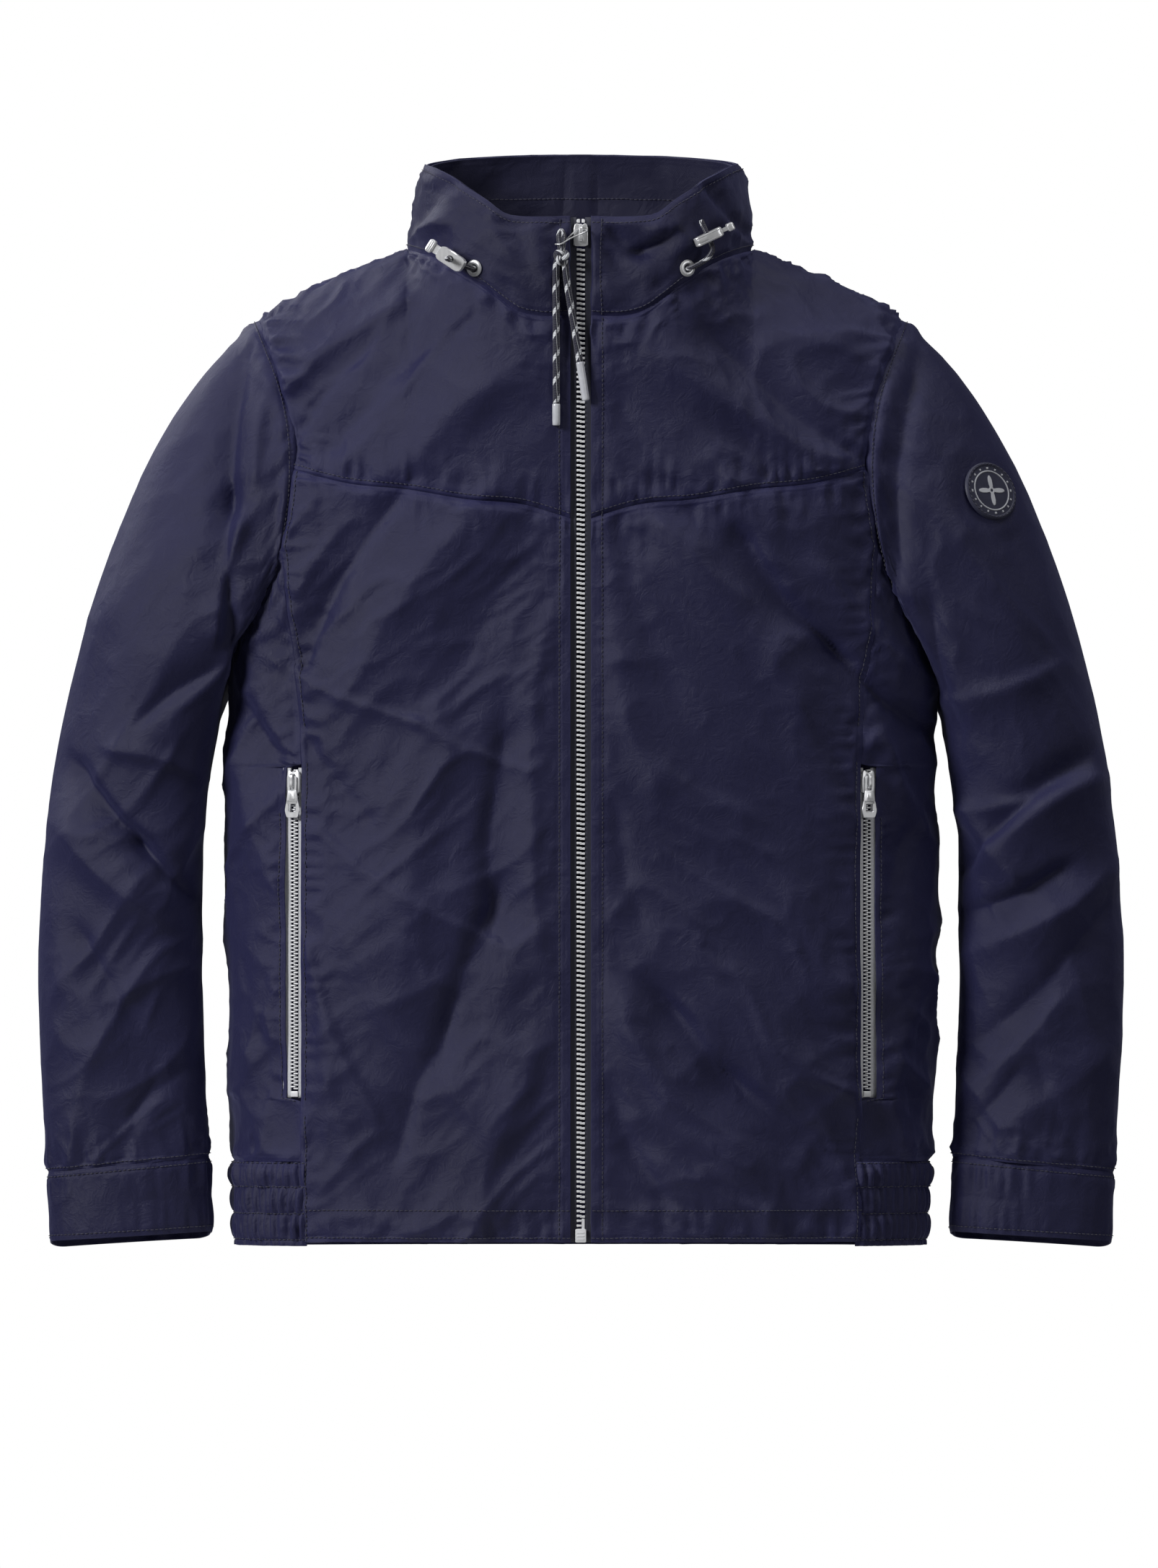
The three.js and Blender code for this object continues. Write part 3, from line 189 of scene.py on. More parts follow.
def make_handling_group():
    """Soft marks of handling: broad cloudiness, fine crumple lines, and rubbing next to seams."""
    group, given, out = new_group("handling", [
        ("Vector", "NodeSocketVector", None), ("Seam", "NodeSocketFloat", 0.0),
    ], ["Cloud", "Crumple", "Rub"])
    cloud = node(group, "ShaderNodeTexNoise", Vector=given.outputs["Vector"], Scale=7.0, Detail=3.0)
    crumple = node(group, "ShaderNodeTexNoise", Vector=given.outputs["Vector"], Scale=75.0, Detail=5.0,
                   Roughness=0.6, Distortion=0.6)
    sharp = calc(group, "ABSOLUTE", calc(group, "SUBTRACT", crumple.outputs["Fac"], 0.5))
    patches = calc(group, "MULTIPLY", cloud.outputs["Fac"], given.outputs["Seam"])
    group.links.new(cloud.outputs["Fac"], out.inputs["Cloud"])
    group.links.new(sharp, out.inputs["Crumple"])
    group.links.new(patches, out.inputs["Rub"])
    return group


def make_wear_group():
    """Wear on hard pieces: fine scratches and a cloudy mask from two noises."""
    group, given, out = new_group("hard_wear", [
        ("Vector", "NodeSocketVector", None), ("Scale", "NodeSocketFloat", 400.0),
    ], ["Scratches", "Mask"])
    streak = node(group, "ShaderNodeMapping", Vector=given.outputs["Vector"], Scale=(1, 1, 0.15))
    scratch = node(group, "ShaderNodeTexNoise", Vector=streak.outputs[0], Scale=given.outputs["Scale"],
                   Detail=3.0)
    mask = node(group, "ShaderNodeTexNoise", Vector=given.outputs["Vector"], Scale=120.0, Detail=2.0)
    group.links.new(scratch.outputs["Fac"], out.inputs["Scratches"])
    group.links.new(mask.outputs["Fac"], out.inputs["Mask"])
    return group


WEAVE = make_weave_group()
HANDLING = make_handling_group()
WEAR = make_wear_group()


def use_group(tree, group, **inputs):
    """Places a node group in a material's tree."""
    made = node(tree, "ShaderNodeGroup", {"node_tree": group})
    for key, value in inputs.items():
        if isinstance(value, bpy.types.NodeSocket):
            tree.links.new(value, made.inputs[key])
        else:
            made.inputs[key].default_value = value
    return made


def new_material(name, **values):
    """A material, its tree, its Principled BSDF, and its UV and Object coordinates."""
    material = bpy.data.materials.new(name)
    material.use_nodes = True
    tree = material.node_tree
    shader = tree.nodes["Principled BSDF"]
    for key, value in values.items():
        shader.inputs[key.replace("_", " ")].default_value = value
    coords = tree.nodes.new("ShaderNodeTexCoord")
    return material, tree, shader, coords.outputs["UV"], coords.outputs["Object"]


def cloth_material(name, dark, light, thread, rough, sheen=0.2, bump=0.3, crumple=0.5):
    """Woven cloth: colour clouds between dark and light, lighter rubbing at seams, weave and
    crumple relief."""
    material, tree, shader, uv, place = new_material(
        name, Sheen_Weight=sheen, Sheen_Roughness=0.45, Sheen_Tint=(0.5, 0.52, 0.95, 1),
        Specular_IOR_Level=0.32)
    seam = node(tree, "ShaderNodeAttribute", {"attribute_name": "seam"}).outputs["Fac"]
    weave = use_group(tree, WEAVE, Vector=uv, Thread=thread, Slub=0.5)
    hand = use_group(tree, HANDLING, Vector=place, Seam=seam)
    tone = calc(tree, "ADD", calc(tree, "MULTIPLY", hand.outputs["Cloud"], 0.75),
                calc(tree, "MULTIPLY", weave.outputs["Slubs"], 0.35))
    base = blend_colours(tree, calc(tree, "SUBTRACT", tone, 0.12), (*dark, 1), (*light, 1))
    rubbed = blend_colours(tree, calc(tree, "MULTIPLY", hand.outputs["Rub"], 0.55), base,
                           tuple(1.7 * c for c in light) + (1,))
    tree.links.new(rubbed, shader.inputs["Base Color"])
    tree.links.new(calc(tree, "ADD", rough - 0.08, calc(tree, "MULTIPLY", hand.outputs["Cloud"], 0.16)),
                   shader.inputs["Roughness"])
    relief = node(tree, "ShaderNodeBump", Strength=crumple, Distance=0.0024, Height=hand.outputs["Crumple"])
    fine = node(tree, "ShaderNodeBump", Strength=bump, Distance=0.00025, Height=weave.outputs["Height"],
                Normal=relief.outputs[0])
    tree.links.new(fine.outputs[0], shader.inputs["Normal"])
    return material


def hard_material(name, colour, worn, rough, metallic=0.0, scale=400.0, bump=0.15, **more):
    """Metal or moulded plastic: colour and roughness drift with wear, with scratches in relief."""
    material, tree, shader, _, place = new_material(name, Metallic=metallic, **more)
    wear = use_group(tree, WEAR, Vector=place, Scale=scale)
    rubbed = calc(tree, "SUBTRACT", wear.outputs["Mask"], 0.35)
    mask = calc(tree, "SMOOTH_MAX", calc(tree, "MULTIPLY", rubbed, 1.6), 0.0)
    tree.links.new(blend_colours(tree, mask, (*colour, 1), (*worn, 1)), shader.inputs["Base Color"])
    tree.links.new(calc(tree, "ADD", rough - 0.06, calc(tree, "MULTIPLY", wear.outputs["Scratches"], 0.14)),
                   shader.inputs["Roughness"])
    relief = node(tree, "ShaderNodeBump", Strength=bump, Distance=0.0001, Height=wear.outputs["Scratches"])
    tree.links.new(relief.outputs[0], shader.inputs["Normal"])
    return material


def braid_material(name, base, light, fleck, pitch, fleck_every):
    """Braided cord on UV (turn, metres): strands as a product of two opposite spirals, a pale
    tracer spiral."""
    material, tree, shader, uv, place = new_material(name, Roughness=0.75, Sheen_Weight=0.3)
    parts = node(tree, "ShaderNodeSeparateXYZ", Vector=uv)
    round_it = calc(tree, "MULTIPLY", parts.outputs["X"], 6.2832 * 6)
    length = calc(tree, "MULTIPLY", parts.outputs["Y"], 6.2832 / pitch)
    one = calc(tree, "SINE", calc(tree, "ADD", round_it, length))
    other = calc(tree, "SINE", calc(tree, "SUBTRACT", round_it, length))
    strands = calc(tree, "MULTIPLY", one, other)
    fuzz = node(tree, "ShaderNodeTexNoise", Vector=place, Scale=1800.0, Detail=2.0).outputs["Fac"]
    colour = blend_colours(tree, calc(tree, "ADD", calc(tree, "MULTIPLY", strands, 0.3), fuzz),
                           (*base, 1), (*light, 1))
    if fleck_every:
        turn = calc(tree, "SUBTRACT", calc(tree, "DIVIDE", parts.outputs["Y"], fleck_every),
                    parts.outputs["X"])
        mask = calc(tree, "LESS_THAN", calc(tree, "FRACT", calc(tree, "ADD", turn, 40.0)), 0.24)
        colour = blend_colours(tree, mask, colour, (*fleck, 1))
    tree.links.new(colour, shader.inputs["Base Color"])
    relief = node(tree, "ShaderNodeBump", Strength=0.7, Distance=0.0004, Height=strands)
    tree.links.new(relief.outputs[0], shader.inputs["Normal"])
    return material


def tape_material(name, dark, light):
    """Knitted zip tape on UV in metres: a herringbone of fine ribs along its length."""
    material, tree, shader, uv, place = new_material(name, Roughness=0.8, Sheen_Weight=0.2)
    parts = node(tree, "ShaderNodeSeparateXYZ", Vector=uv)
    zigzag = calc(tree, "PINGPONG", parts.outputs["X"], 0.0012)
    ribs = calc(tree, "SINE", calc(tree, "MULTIPLY", calc(tree, "ADD", zigzag, parts.outputs["Y"]),
                                   6.2832 / 0.0009))
    fuzz = node(tree, "ShaderNodeTexNoise", Vector=place, Scale=1400.0, Detail=2.0).outputs["Fac"]
    mix = calc(tree, "ADD", calc(tree, "MULTIPLY", ribs, 0.22), fuzz)
    tree.links.new(blend_colours(tree, mix, (*dark, 1), (*light, 1)), shader.inputs["Base Color"])
    relief = node(tree, "ShaderNodeBump", Strength=0.5, Distance=0.0003, Height=ribs)
    tree.links.new(relief.outputs[0], shader.inputs["Normal"])
    return material


NAVY_DARK = (0.0078, 0.0078, 0.037)
NAVY_LIGHT = (0.0165, 0.0165, 0.071)
SHELL = cloth_material("navy_shell_cloth", NAVY_DARK, NAVY_LIGHT, 0.0006, 0.5)
ELASTIC = cloth_material("gathered_shell_cloth", NAVY_DARK, NAVY_LIGHT, 0.0006, 0.52, crumple=0.6)
# The collar's cloth is the shell's navy made darker. This is painted shade for a collar that curves inwards
# and catches less light.
COLLAR_IN_PAINTED_SHADE = cloth_material("collar_cloth_in_painted_shade", (0.0064, 0.0064, 0.0305), (0.0132, 0.0132, 0.0575), 0.0006,
                        0.52)
INNER = cloth_material("inner_collar_cloth", (0.0085, 0.0085, 0.03), (0.016, 0.016, 0.052), 0.0008, 0.62,
                       0.15)
LINING = cloth_material("lining_taffeta", (0.008, 0.008, 0.018), (0.016, 0.016, 0.032), 0.0005, 0.45, 0.1)
THREAD = braid_material("navy_thread", (0.013, 0.013, 0.045), (0.026, 0.026, 0.08), (1, 1, 1), 0.0009, 0)
CORD = braid_material("navy_braid", (0.008, 0.008, 0.02), (0.03, 0.03, 0.06), (0.72, 0.74, 0.78),
                      pitch=0.0034, fleck_every=0.016)
LOOP = braid_material("navy_loop_braid", (0.012, 0.012, 0.028), (0.035, 0.035, 0.07), (1, 1, 1), 0.003, 0)
TAPE = tape_material("navy_zip_tape", (0.016, 0.017, 0.033), (0.04, 0.042, 0.07))
PALE_TAPE = tape_material("pale_pocket_tape", (0.55, 0.56, 0.6), (0.82, 0.83, 0.86))
TEETH = hard_material("silver_white_teeth", (0.84, 0.85, 0.88), (0.93, 0.93, 0.95), 0.34, 0.1)
METAL = hard_material("satin_silver", (0.78, 0.79, 0.81), (0.9, 0.9, 0.92), 0.3, 0.62, 500.0, 0.2)
CLEAR = hard_material("smoky_clear_sleeve", (0.5, 0.51, 0.56), (0.78, 0.8, 0.84), 0.2, 0.0, 300.0, 0.1,
                      Coat_Weight=0.6, Coat_Roughness=0.1)
FLOOR = hard_material("pale_floor", (0.78, 0.78, 0.77), (0.84, 0.84, 0.83), 0.85, 0.0, 60.0, 0.05)


# ------------------------------------------------------------------ mesh helpers

def quads(rows, columns, wrap_rows=False, wrap_columns=False):
    """Quads of a (rows, columns) grid of vertices, closed round where asked."""
    r = np.arange(rows if wrap_rows else rows - 1)[:, None]
    c = np.arange(columns if wrap_columns else columns - 1)[None, :]
    below, above = r * columns, ((r + 1) % rows) * columns
    right = (c + 1) % columns
    return np.stack([below + c, below + right, above + right, above + c], axis=-1).reshape(-1, 4)


def put(name, points, faces, material, body="garment", uv=None, seam=None, slot=None, instead_of=()):
    """Makes a mesh object from garment points and faces and lets it ride on its body."""
    mesh = bpy.data.meshes.new(name)
    mesh.from_pydata(placed(points).tolist(), [], [list(map(int, f)) for f in faces])
    if uv is not None:
        layer = mesh.uv_layers.new(name="UVMap")
        corner = np.empty(len(mesh.loops), int)
        mesh.loops.foreach_get("vertex_index", corner)
        layer.data.foreach_set("uv", np.asarray(uv, float)[corner].ravel())
    if seam is not None:
        attribute = mesh.attributes.new("seam", "FLOAT", "POINT")
        attribute.data.foreach_set("value", np.asarray(seam, float).ravel())
    mesh.polygons.foreach_set("use_smooth", np.ones(len(mesh.polygons), bool))
    mesh.materials.append(material)
    mesh.update()
    piece = bpy.data.objects.new(name, mesh)
    bpy.context.collection.objects.link(piece)
    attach(piece, body)
    if instead_of:
        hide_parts(*instead_of)
    return piece


def crease_hard_edges(piece, angle=35):
    """Keeps corners sharper than the angle crisp while the rest shades smooth."""
    mesh = piece.data
    mesh.set_sharp_from_angle(angle=math.radians(angle))


def unit(vectors):
    """Vectors divided by their length."""
    return vectors / np.maximum(np.linalg.norm(vectors, axis=-1, keepdims=True), 1e-9)


def smoothstep(value):
    """t^2 (3 - 2t) between 0 and 1."""
    t = np.clip(value, 0, 1)
    return t * t * (3 - 2 * t)


def mix(first, second, share):
    """first + (second - first) share."""
    return first + (second - first) * share


def through(points):
    """A cubic Hermite curve through rising points, its slopes central differences, level past the ends."""
    xs, ys = np.array(points, float).T
    after, before = np.minimum(np.arange(len(xs)) + 1, len(xs) - 1), np.maximum(np.arange(len(xs)) - 1, 0)
    slopes = (ys[after] - ys[before]) / (xs[after] - xs[before])

    def at(value):
        value = np.clip(np.asarray(value, float), xs[0], xs[-1])
        i = np.clip(np.searchsorted(xs, value, "right") - 1, 0, len(xs) - 2)
        span = xs[i + 1] - xs[i]
        t = (value - xs[i]) / span
        return ((2 * t**3 - 3 * t**2 + 1) * ys[i] + (t**3 - 2 * t**2 + t) * span * slopes[i]
                + (3 * t**2 - 2 * t**3) * ys[i + 1] + (t**3 - t**2) * span * slopes[i + 1])
    return at


def spline(points, count):
    """Catmull-Rom curve through points, at equal steps of its length: count points."""
    p = np.array(points, float)
    q = np.concatenate([2 * p[:1] - p[1:2], p, 2 * p[-1:] - p[-2:-1]])
    t = np.linspace(0, len(p) - 1 - 1e-9, 60 * len(p))
    i = t.astype(int)
    f = (t - i)[:, None]
    a, b, c, d = q[i], q[i + 1], q[i + 2], q[i + 3]
    fine = 0.5 * (2 * b + (c - a) * f + (2 * a - 5 * b + 4 * c - d) * f**2 + (3 * b - a - 3 * c + d) * f**3)
    run = np.concatenate([[0], np.cumsum(np.linalg.norm(np.diff(fine, axis=0), axis=1))])
    at = np.linspace(0, run[-1], count)
    return np.stack([np.interp(at, run, fine[:, k]) for k in range(p.shape[1])], axis=1)


def noise(points, size, seed):
    """Smooth value noise, 0 to 1: random heights on a lattice of the size, blended by smoothstep."""
    q = points / size + seed * 17.31
    cell = np.floor(q)
    f = q - cell
    f = f * f * (3 - 2 * f)
    total = 0
    for corner in np.ndindex(2, 2, 2):
        spot = cell + corner
        value = np.sin(spot @ np.array([127.1, 311.7, 74.7])) * 43758.5453
        share = np.prod(np.where(corner, f, 1 - f), axis=-1)
        total = total + (value - np.floor(value)) * share
    return total


# ------------------------------------------------------------------ the body's surface

def depth_share(x):
    """Superellipse section: (1 - |x / 246|^2.6)^(1 / 2.6)."""
    return (1 - np.minimum(1, np.abs(x) / 246) ** 2.6) ** (1 / 2.6)


def section_angle(x):
    """Angle of the section at x: acos((x / 246)^1.3)."""
    return np.arccos(np.clip(x / 246, 0, 1) ** 1.3)


side_bulge = through([[0, -6], [120, -1.5], [260, 2], [400, 0]])
shoulder_z = through([[121, 696], [172, 676], [210, 658], [225, 647]])
armhole_x = through([[413, 246], [430, 236], [475, 212], [535, 201], [590, 205], [647, 225]])
side_seam_x = through([[338, 194.5], [390, 198.5], [440, 204], [490, float(armhole_x(490))]])
YOKE_SIDE_X = float(armhole_x(542))
front_yoke_z = through([[0, 505], [40, 517], [78, 520.5], [120, 527.5], [162, 532], [YOKE_SIDE_X, 542]])
back_yoke_z = through([[0, 556], [100, 553], [YOKE_SIDE_X, 542]])
neck_z = through([[0, 648], [40, 650], [70, 671], [95, 686], [121, 696]])


def neck_wave(x):
    """cos of a quarter turn over the neck's half width."""
    return np.cos(np.pi / 2 * np.clip(np.abs(x) / 121, 0, 1))


def arch_top(x, side):
    """Height that the shoulder arch aims for: the shoulder line, carried on inwards, and a rise
    inside the neck."""
    wave = neck_wave(x)
    inside = np.maximum(0, 121 - np.abs(x))
    line = shoulder_z(np.abs(x)) + 0.39 * inside * np.exp(-inside / 12)
    rise = 104 * wave**0.75 * (1 - np.exp(-((wave / 0.12) ** 1.2)))
    return line + (rise if side == FRONT else 26 * wave**2)


def arch_power(x, side):
    """Exponent of the arch, squarer at the centre front."""
    return 2.4 + (3.6 * neck_wave(x) ** 2 if side == FRONT else 0 * x)


def arch_point(x, angle, side):
    """Point on the arch: z = 480 + rise sin^(2/m), y = side 100 depth cos^(2/m)."""
    power = 2 / arch_power(x, side)
    z = 480 + (arch_top(x, side) - 480) * np.sin(np.clip(angle, 0, np.pi / 2)) ** power
    y = side * 100 * depth_share(x) * np.maximum(0, np.cos(angle)) ** power
    return np.stack([x + 0 * z, y, z], axis=-1)


def arch_angle(x, z, side):
    """Angle on the arch whose height is z."""
    share = np.clip((z - 480) / (arch_top(x, side) - 480), 0, 1)
    return np.arcsin(share ** (arch_power(x, side) / 2))


def body_point(x, z, side):
    """Point of the body at x and height z: straight below 480, arched above it."""
    point = arch_point(x, arch_angle(x, np.maximum(z, 480), side), side)
    point[..., 2] = np.where(z <= 480, z, point[..., 2])
    point[..., 0] += np.sign(x) * side_bulge(z) * np.clip((np.abs(x) - 206) / 40, 0, 1) ** 2
    return point


def panel(share, rise, side, hem):
    """Front or back panel of the +X half: share 0 at the centre to 1 at the side, rise 0 at the
    hem to 1."""
    row = mix(hem, 542, rise)
    outer = np.where(row <= 490, side_seam_x(row), armhole_x(row))
    x = mix(7.0 if side == FRONT else 0.0, outer, share)
    seam = front_yoke_z if side == FRONT else back_yoke_z
    z = np.where(row <= 400, row, 400 + (row - 400) * (seam(x) - 400) / 142)
    return body_point(x, z, side)


def yoke(share, rise, side):
    """Yoke of the +X half: from the yoke seam (rise 0) over to the neck seam and the shoulder
    seam (rise 1)."""
    inner = 7.0 if side == FRONT else 0.0
    column = share * 8
    low = mix(inner, YOKE_SIDE_X, share)
    high = np.where(column <= 5, inner + (121 - inner) * np.sin(np.clip(column / 5, 0, 1) * np.pi / 2),
                    mix(121, 225, (column - 5) / 3))
    seam = front_yoke_z if side == FRONT else back_yoke_z
    if side == FRONT:
        top = arch_angle(high, neck_z(high), side)
    else:
        neck_y = 50 * np.maximum(0, 1 - (np.minimum(high, 121) / 121) ** 2.4) ** (1 / 2.4)
        top = np.arccos(np.clip(neck_y / (100 * depth_share(high)), 0, 1) ** (arch_power(high, side) / 2))
    top = np.where(high >= 121, np.pi / 2, top)
    arm_start = arch_angle(np.array(YOKE_SIDE_X), np.array(542.0), side)
    arm_z = mix(542, 647, rise**0.7)
    arm_x = armhole_x(arm_z)
    arm_angle = np.where(rise >= 1, np.pi / 2, arch_angle(arm_x, arm_z, side))
    x = mix(low, high, rise) + share**2 * (arm_x - mix(YOKE_SIDE_X, 225, rise))
    angle = mix(arch_angle(low, seam(low), side), top, rise)
    angle = angle + share**2 * (arm_angle - mix(arm_start, np.pi / 2, rise))
    return arch_point(x, angle, side)


def side_top(share):
    """Armhole height where it crosses the side panel's line at the share, found by halving."""
    low, high = np.full_like(share, 413.0), np.full_like(share, 490.0)
    for _ in range(30):
        middle = (low + high) / 2
        beyond = section_angle(armhole_x(middle)) > share * section_angle(side_seam_x(middle))
        low, high = np.where(beyond, low, middle), np.where(beyond, middle, high)
    return (low + high) / 2


def side(turn, row, to_armhole=True):
    """Side panel of the +X side: turn -1 at the front seam to 1 at the back seam, row a height."""
    top = side_top(np.abs(turn)) if to_armhole else 490.0
    z = np.where(row <= 337, row, mix(337, top, (row - 337) / 153))
    slot = 11 * np.clip((z - 103) / 2, 0, 1) * np.clip((337 - z) / 2, 0, 1)
    seam = side_seam_x(z) + np.where(turn < 0, slot, 0)
    x = 246 * np.cos(np.abs(turn) * section_angle(seam)) ** (2 / 2.6)
    front, back = body_point(x, z, FRONT), body_point(x, z, BACK)
    return np.where((turn < 0)[..., None], front, back)


# ------------------------------------------------------------------ folds of the cloth

# Long soft folds on the front: start X Z, end X Z, width, height above (or below) the smooth surface, lean.
FRONT_FOLDS = [
    (-128, 520, -190, 415, 13, -6.5, 0.5), (-78, 505, -150, 405, 22, 6.5, -0.3),
    (-30, 500, -80, 400, 20, -3.5, 0.2),
    (-216, 412, -113, 367, 4, 2.6, 0.4), (-113, 367, -38, 334, 4, 2.2, 0.4),
    (-205, 380, -150, 300, 14, -3.5, 0.3),
    (-55, 345, -62, 236, 15, -6, -0.5), (-62, 236, -95, 140, 15, -6, -0.5),
    (-100, 330, -120, 215, 24, 5, 0.3),
    (-185, 294, -62, 215, 6, 2.6, 0.5), (-150, 200, -70, 90, 18, 4.5, -0.4),
    (-95, 150, -125, 70, 10, -4.5, 0.4),
    (-188, 210, -142, 95, 6, 3.2, 0.5), (-40, 110, -70, 30, 13, 4, 0.3), (-178, 150, -160, 70, 12, 3.5, 0),
    (-32, 300, -20, 180, 9, 2.6, 0.3), (-25, 420, -35, 330, 10, 2.4, -0.3),
    (32, 640, 178, 548, 17, 6.5, -0.4), (95, 632, 203, 545, 13, -6.5, 0.3), (25, 590, 70, 525, 12, -3, 0.2),
    (-40, 620, -120, 540, 22, 5, 0.3), (-85, 640, -170, 560, 13, -4, 0.3),
    (-125, 655, -200, 600, 9, 3.6, 0.4),
    (-150, 625, -200, 560, 8, -3, 0.3), (150, 660, 205, 610, 8, 3.4, 0.4),
    (-60, 668, -118, 600, 7, 2.8, 0.4),
    (117, 490, 178, 417, 10, -7, 0.5), (178, 417, 238, 364, 9, -6.5, 0.5), (80, 480, 150, 400, 20, 6, -0.3),
    (30, 490, 60, 400, 17, -3, 0), (60, 500, 110, 455, 9, 3, 0.4), (170, 470, 235, 400, 10, 4.5, 0.3),
    (60, 330, 110, 305, 12, 2.6, 0.4), (150, 380, 188, 300, 12, 3.2, 0.3),
    (20, 420, 50, 330, 13, 3.2, -0.3),
    (24, 207, 62, 171, 14, -4.0, 0.5), (62, 171, 106, 120, 14, -5.5, 0.5),
    (106, 120, 172, 78, 13, -4.5, 0.5),
    (30, 160, 100, 70, 20, 6.5, -0.3), (110, 170, 180, 110, 22, 5, 0.2), (20, 110, 55, 40, 11, -4.5, 0.3),
    (60, 60, 130, 25, 10, 3.6, 0.4), (25, 300, 40, 235, 10, -2.8, 0.3), (150, 240, 185, 180, 14, 3, 0.2),
    (-238, 330, -205, 250, 12, 4, 0.2), (-236, 200, -210, 120, 11, -3.5, 0.2),
    (236, 300, 210, 230, 12, -3.5, 0.2),
    (238, 180, 214, 100, 10, 4, 0.3), (-230, 372, -200, 330, 9, -5, 0.4), (212, 350, 236, 300, 9, 4.5, 0.3),
]
BACK_FOLDS = [
    (-170, 520, -60, 400, 20, -5, 0.3), (160, 525, 70, 410, 20, -5, -0.3),
    (-30, 380, -110, 180, 24, 5, 0.2),
    (40, 420, 120, 200, 24, -5, 0.3), (-190, 330, -120, 120, 16, -4, 0.3), (185, 300, 110, 90, 18, 4, 0.2),
    (-60, 160, -20, 40, 14, -4, 0.3), (30, 190, 60, 50, 14, 4, 0.3), (-150, 640, -60, 560, 14, 3.5, 0.3),
    (150, 640, 60, 565, 14, -3.5, 0.3), (-120, 300, 60, 250, 9, 2.5, 0.4), (0, 540, 20, 380, 18, 3, 0.2),
    (-205, 460, -140, 380, 9, 3.5, 0.4), (205, 460, 150, 370, 9, 3.5, 0.4),
]
# The sleeves' folds, for the sleeve on the +X side and the one on the -X side.
LEFT_SLEEVE_FOLDS = [
    (222, 632, 206, 560, 8, 6, 0.3), (232, 600, 222, 480, 9, -5, 0.4), (250, 380, 330, 405, 8, 3.5, 0.4),
    (352, 340, 264, 262, 8, -7, 0.5), (370, 330, 300, 290, 15, 6, -0.3), (252, 345, 300, 262, 9, 6, 0.3),
    (262, 305, 352, 327, 7, 4, 0.4), (268, 235, 330, 262, 8, -6, 0.4), (270, 205, 368, 262, 11, 5, 0.2),
    (271, 142, 365, 235, 12, -5.5, 0.3), (268, 110, 330, 170, 8, 4, 0.4), (300, 90, 370, 140, 12, 4.5, 0.2),
    (262, 80, 300, 120, 7, -4, 0.4), (260, 520, 300, 430, 22, 4, 0.2), (245, 440, 262, 360, 9, -5, 0.3),
    (300, 500, 345, 400, 18, -3, 0.2), (318, 130, 345, 70, 9, -4, 0.3), (345, 190, 372, 120, 10, 4, 0.3),
]
RIGHT_SLEEVE_FOLDS = [
    (-228, 630, -243, 520, 8, -6, 0.4), (-243, 520, -240, 425, 9, -6.5, 0.4),
    (-214, 600, -225, 540, 6, 4, 0.3),
    (-236, 500, -252, 430, 6, 5, 0.4), (-262, 590, -330, 440, 24, 5, 0.2),
    (-348, 332, -300, 280, 9, -7, 0.5),
    (-300, 280, -264, 240, 8, -6.5, 0.5), (-360, 290, -300, 235, 15, 6, -0.3),
    (-344, 212, -290, 140, 11, -5, 0.4),
    (-372, 240, -330, 150, 16, 4.5, 0.2), (-268, 330, -320, 345, 7, 3.5, 0.4),
    (-260, 200, -320, 175, 8, 4, 0.4),
    (-262, 130, -310, 95, 8, -4, 0.4), (-340, 130, -355, 65, 9, 4, 0.3), (-300, 110, -318, 62, 8, -4, 0.3),
    (-255, 400, -300, 372, 8, -4, 0.4), (-258, 300, -285, 250, 7, 4, 0.3),
    (-330, 420, -350, 340, 14, -3, 0.2),
]


def fold_height(points, folds):
    """Sum of the folds: 1.2 height exp(-|d / w|^1.5).

    d is the distance from the fold's line, and w is wider on one side of it by lean."""
    x, z = points[..., 0], points[..., 2]
    total = np.zeros(x.shape)
    for x0, z0, x1, z1, width, height, lean in folds:
        ax, az = x1 - x0, z1 - z0
        length = math.hypot(ax, az)
        bow = 0.05 * length * np.sin(np.pi * np.clip(((x - x0) * ax + (z - z0) * az) / length**2, 0, 1))
        along = ((x - x0) * ax + (z - z0) * az) / length
        across = ((x - x0) * az - (z - z0) * ax) / length - bow
        past = np.maximum(0, np.maximum(-along, along - length))
        reach = width * np.where(across > 0, 1 + lean, 1 - lean)
        total += 1.2 * height * np.exp(-(np.abs(across / reach) ** 1.5) - (past / (1.6 * width)) ** 2)
    return total


def rumple(points, seed):
    """Light cloth's crumples: sharpened ridges (1 - |2 n - 1|)^3.2 of noise n, in three sizes.

    They run down and away from the zip."""
    warp = np.stack([noise(points, 70, seed + k) for k in range(3)], axis=-1) * 30
    x, y, z = np.moveaxis(points + warp, -1, 0)
    half = np.where(x < 0, -1.0, 1.0)
    stretched = np.stack([(half * x - z) * 0.30, y * 0.6, (half * x + z) * 0.75 + half * 400], axis=-1)
    total = np.zeros(points.shape[:-1])
    for size, height, extra in [(46, 4.6, 3), (24, 3.0, 5), (12, 1.4, 7)]:
        ridge = 1 - np.abs(2 * noise(stretched, size, seed + extra) - 1)
        total += height * (ridge**3.2 - 0.3)
    patchy = 0.35 + 0.9 * noise(points, 90, seed + 11)
    return total * patchy


